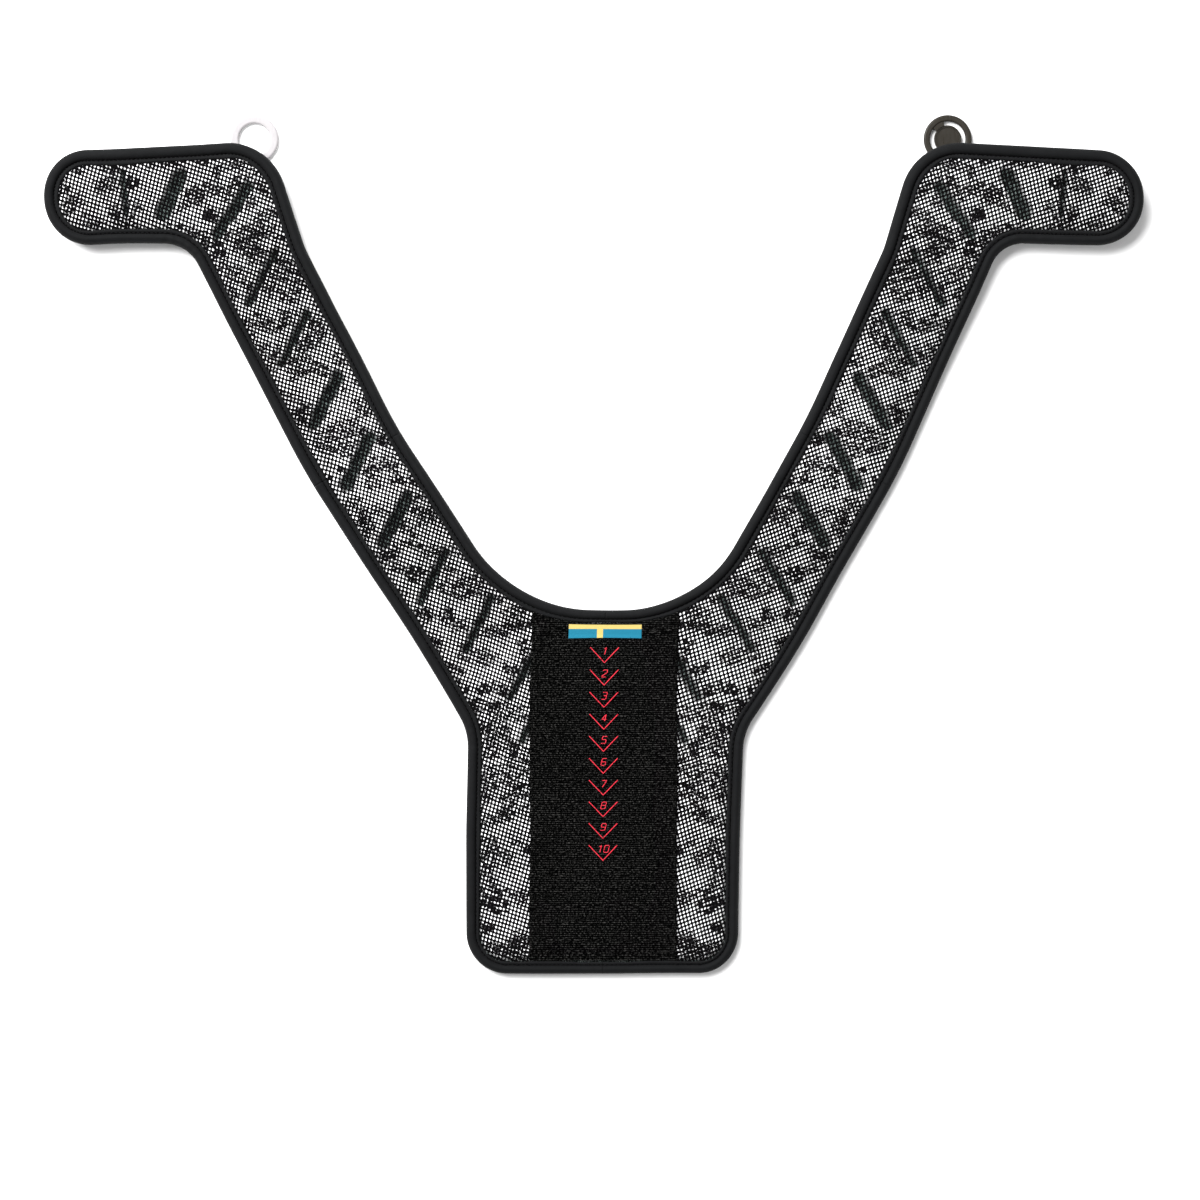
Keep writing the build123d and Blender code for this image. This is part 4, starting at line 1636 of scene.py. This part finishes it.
@dataclass
class SizeScale:
    """Ten embroidered chevrons, each with its number."""

    panel: LoopPanel
    count: int = 10
    first: float = 222.6
    pitch: float = 15.0
    width: float = 19.4
    height: float = 10.3
    line: float = 0.64
    digit_line: float = 0.56
    digit_height: float = 4.7
    digit_width: float = 3.0
    slant: float = 0.26
    rise: float = 0.55
    step: float = 0.45
    rib_pitch: float = 0.42

    STROKES: ClassVar[dict[str, list[list[tuple[float, float]]]]] = {
        "0": [[(0, 0.1), (0, 0.9), (0.15, 1), (0.85, 1), (1, 0.9), (1, 0.1), (0.85, 0), (0.15, 0), (0, 0.1)]],
        "1": [[(0.25, 0.8), (0.6, 1), (0.6, 0)]],
        "2": [[(0, 0.88), (0.15, 1), (0.85, 1), (1, 0.88), (1, 0.62), (0, 0.12), (0, 0), (1, 0)]],
        "3": [
            [(0, 1), (0.85, 1), (1, 0.88), (1, 0.6), (0.85, 0.52), (0.35, 0.52)],
            [(0.85, 0.52), (1, 0.42), (1, 0.12), (0.85, 0), (0, 0)],
        ],
        "4": [[(0.75, 0), (0.75, 1), (0, 0.3), (1.05, 0.3)]],
        "5": [[(1, 1), (0.05, 1), (0, 0.55), (0.85, 0.55), (1, 0.42), (1, 0.12), (0.85, 0), (0, 0)]],
        "6": [
            [(0.95, 1), (0.15, 1), (0, 0.88), (0, 0.12), (0.15, 0), (0.85, 0)]
            + [(1, 0.12), (1, 0.4), (0.85, 0.52), (0, 0.52)],
        ],
        "7": [[(0, 1), (1, 1), (0.4, 0)]],
        "8": [
            [(0.15, 0.52), (0, 0.62), (0, 0.9), (0.15, 1), (0.85, 1), (1, 0.9), (1, 0.62), (0.85, 0.52), (0.15, 0.52)]
            + [(0, 0.4), (0, 0.1), (0.15, 0), (0.85, 0), (1, 0.1), (1, 0.4), (0.85, 0.52)],
        ],
        "9": [
            [(0.05, 0), (0.85, 0), (1, 0.12), (1, 0.88), (0.85, 1), (0.15, 1)]
            + [(0, 0.88), (0, 0.6), (0.15, 0.48), (1, 0.48)],
        ],
    }

    def strand(self, corners: np.ndarray, line: float) -> Shape:
        """Raised satin-stitched line through corner points.

        A half-round profile is carried along the line, whose points are evenly spaced between its corners.

        Args:
            corners: n pairs.
            line: its width.

        Returns:
            The closed strand.
        """
        length = walked(corners)
        at = np.unique(np.concatenate([np.linspace(0, length[-1], max(3, int(length[-1] / self.step))), length]))
        xy = np.stack([np.interp(at, length, corners[:, 0]), np.interp(at, length, corners[:, 1])], 1)
        way = np.gradient(xy, at, axis=0)
        way /= np.linalg.norm(way, axis=1)[:, None]
        z = self.panel.ground(xy) + self.panel.backing + self.rise
        path = np.column_stack([xy, z])
        across = np.column_stack([-way[:, 1], way[:, 0], np.zeros(len(way))])
        a = np.radians([0, 36, 72, 108, 144, 180, 225, 270, 315])
        profile = np.stack([np.cos(a) * line / 2, np.sin(a) * line * 0.32], 1)
        rib = 1 + 0.10 * np.cos(at / self.rib_pitch * 2 * np.pi)
        return outward(swept(path, across, UP, profile[None] * rib[:, None, None]))

    def number(self, text: str, centre: np.ndarray) -> list[Shape]:
        """Strands of a number about its centre."""
        gap, size = self.digit_width * 1.42, np.array([self.digit_width, self.digit_height])
        out = []
        for k, digit in enumerate(text):
            for stroke in self.STROKES[digit]:
                p = (np.array(stroke) - 0.5) * size
                p[:, 0] += (k - (len(text) - 1) / 2) * gap + p[:, 1] * self.slant
                out.append(self.strand(p + centre, self.digit_line))
        return out

    def build(self, bench: Bench) -> None:
        """Makes the chevrons as one piece and the numbers as another."""
        chevrons, numbers = [], []
        for k in range(self.count):
            top = self.first - self.pitch * k
            corners = np.array([(-self.width / 2, top), (0.0, top - self.height), (self.width / 2, top)])
            chevrons.append(self.strand(corners, self.line))
            numbers += self.number(str(k + 1), np.array([0.3, top - self.digit_height / 2 - 0.2]))
        piece = bench.make("size_scale_chevrons", joined(chevrons), RED)
        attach(piece, "back_panel")
        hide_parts("size_scale")
        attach(bench.make("size_scale_numbers", joined(numbers), RED), "back_panel")


# ---------------------------------------------------------------- chest clasp


@dataclass
class ChestClasp:
    """The two clasp halves and the webbing that holds each under its strap end."""

    plan: Plan
    x: float = 238.0
    bar_y: float = 550.5
    bar_z: float = 2.6
    web_width: float = 8.8
    web_thick: float = 0.85
    wrap_r: float = 1.9
    tail_from: float = 519.0
    tail_to: float = 537.0
    tail_z: float = 0.55

    def webbing(self) -> Shape:
        """Webbing from under the shell, up and once round the bar.

        The path is a line under the shell, a slope and an arc of the wrap radius round the bar. A flat profile
        with rounded edges is carried along it.
        """
        a = np.radians(np.linspace(75, 395, 30))
        arc = np.stack([self.bar_y + self.wrap_r * np.cos(a), self.bar_z + self.wrap_r * np.sin(a)], 1)
        tail = np.linspace((self.x, self.tail_from, self.tail_z), (self.x, self.tail_to, self.tail_z), 14)
        line = self.plan.lifted(tail)[:, 1:]
        slope = line[-1] + (arc[0] - line[-1]) * smooth_step(np.linspace(0, 1, 12), 0, 1)[:, None]
        side_on = np.concatenate([line, slope[1:-1], arc])
        path = np.column_stack([np.full(len(side_on), self.x), side_on])
        way = np.gradient(side_on, axis=0)
        way /= np.linalg.norm(way, axis=1)[:, None]
        normal = np.column_stack([np.zeros(len(way)), -way[:, 1], way[:, 0]])
        w, t = self.web_width / 2, self.web_thick / 2
        flat, a = np.linspace(-w + t, w - t, 9), np.radians([-60, 0, 60])
        half = [np.column_stack([flat, np.full(9, -t)]), np.column_stack([w - t + t * np.cos(a), t * np.sin(a)])]
        profile = np.concatenate([*half, *(-part for part in half)])
        return outward(swept(path, np.array([1.0, 0.0, 0.0]), normal, profile))

    def build(self, bench: Bench) -> None:
        """Makes the webbing and gives the CAD clasp halves their plastics."""
        shape = self.webbing()
        for side in Side:
            piece = bench.make(f"{side.word}_clasp_webbing", shape.on(side), WEBBING, laid=False)
            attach(piece, f"{side.word}_chest")
            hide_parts(f"{side.word}_clasp_tab")
        for node in ("right_clasp_frame", "right_clasp_disc", "right_clasp_latch"):
            self.coat(bench, node, DARK)
        self.coat(bench, "left_clasp_ring", CLEAR)

    def coat(self, bench: Bench, node: str, finish: Finish) -> None:
        """Puts a finish on a CAD node's own material slots."""
        shown = bench.frame["nodes"][node]
        if not shown.material_slots:
            shown.data.materials.append(finish.material())
        for slot in shown.material_slots:
            slot.material = finish.material()
        LOG.info("%s: finished in %s", node, finish.name)


# ---------------------------------------------------------------- studio


@dataclass
class Studio:
    """Pale floor, soft light from the upper left and a camera straight above."""

    bench: Bench
    view_width: float = 822.0
    centre: tuple[float, float] = (-0.7, 255.5)
    lens: float = 100.0
    sensor: float = 36.0
    lamps: tuple = (("key", (-1.3, 1.5, 2.3), 285.0), ("fill", (1.6, -1.0, 2.4), 14.0))
    lamp_size: float = 2.2
    daylight: float = 0.42
    floor_half: float = 4000.0
    floor_z: float = -0.15

    def floor(self) -> None:
        """Large pale sheet just under the harness."""
        corners = self.floor_half * np.array([[-1, -1], [1, -1], [1, 1], [-1, 1]])
        shape = Shape(np.column_stack([corners, np.full(4, self.floor_z)]), np.array([[0, 1, 2, 3]]))
        self.bench.make("floor_sheet", shape, FLOOR, smooth=False, laid=False)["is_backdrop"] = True

    def lamp(self, name: str, spot: tuple[float, float, float], power: float) -> None:
        """Square lamp facing the middle of the harness.

        Args:
            name: its name.
            spot: where it hangs, in metres.
            power: its power in watts.
        """
        data = bpy.data.lights.new(name, "AREA")
        data.energy, data.size = power, self.lamp_size
        lamp = bpy.data.objects.new(name, data)
        lamp.location = spot
        x, y, z = spot
        lamp.rotation_euler = (np.arctan2(np.hypot(x, y), z), 0.0, np.arctan2(-y, -x) - np.pi / 2)
        bpy.context.scene.collection.objects.link(lamp)

    def build(self) -> None:
        """Sets floor, lights, world and camera."""
        self.floor()
        for name, spot, power in self.lamps:
            self.lamp(name, spot, power)
        world = bpy.data.worlds.new("studio")
        world.use_nodes = True
        sky = world.node_tree.nodes["Background"]
        sky.inputs["Color"].default_value = (1.0, 1.0, 1.0, 1.0)
        sky.inputs["Strength"].default_value = self.daylight
        scene = bpy.context.scene
        scene.world = world
        scene.view_settings.view_transform = "Standard"
        data = bpy.data.cameras.new("camera")
        data.lens, data.sensor_width = self.lens, self.sensor
        camera = bpy.data.objects.new("camera", data)
        x, y = self.centre
        spot = self.bench.row(np.array([x, y, 8.0]))
        camera.location = (spot[0], spot[1], spot[2] + self.view_width * MM * self.lens / self.sensor)
        scene.collection.objects.link(camera)
        scene.camera = camera


def main() -> None:
    """Builds the harness round the CAD frame."""
    logging.basicConfig(level=logging.INFO, format="%(message)s")
    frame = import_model()
    cad_low, cad_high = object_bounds()
    plan = Plan()
    bench = Bench(frame, plan, float(cad_low[1]))
    panel = LoopPanel(plan)
    for part in (Padding(plan), LinerPrint(plan), FaceNet(plan), Binding(plan), panel):
        part.build(bench)
    for part in (WovenTab(plan, panel), SizeScale(panel), ChestClasp(plan)):
        part.build(bench)
    Studio(bench).build()
    LOG.info("%d triangles in all", bench.triangles)


if __name__ == "__main__":
    main()
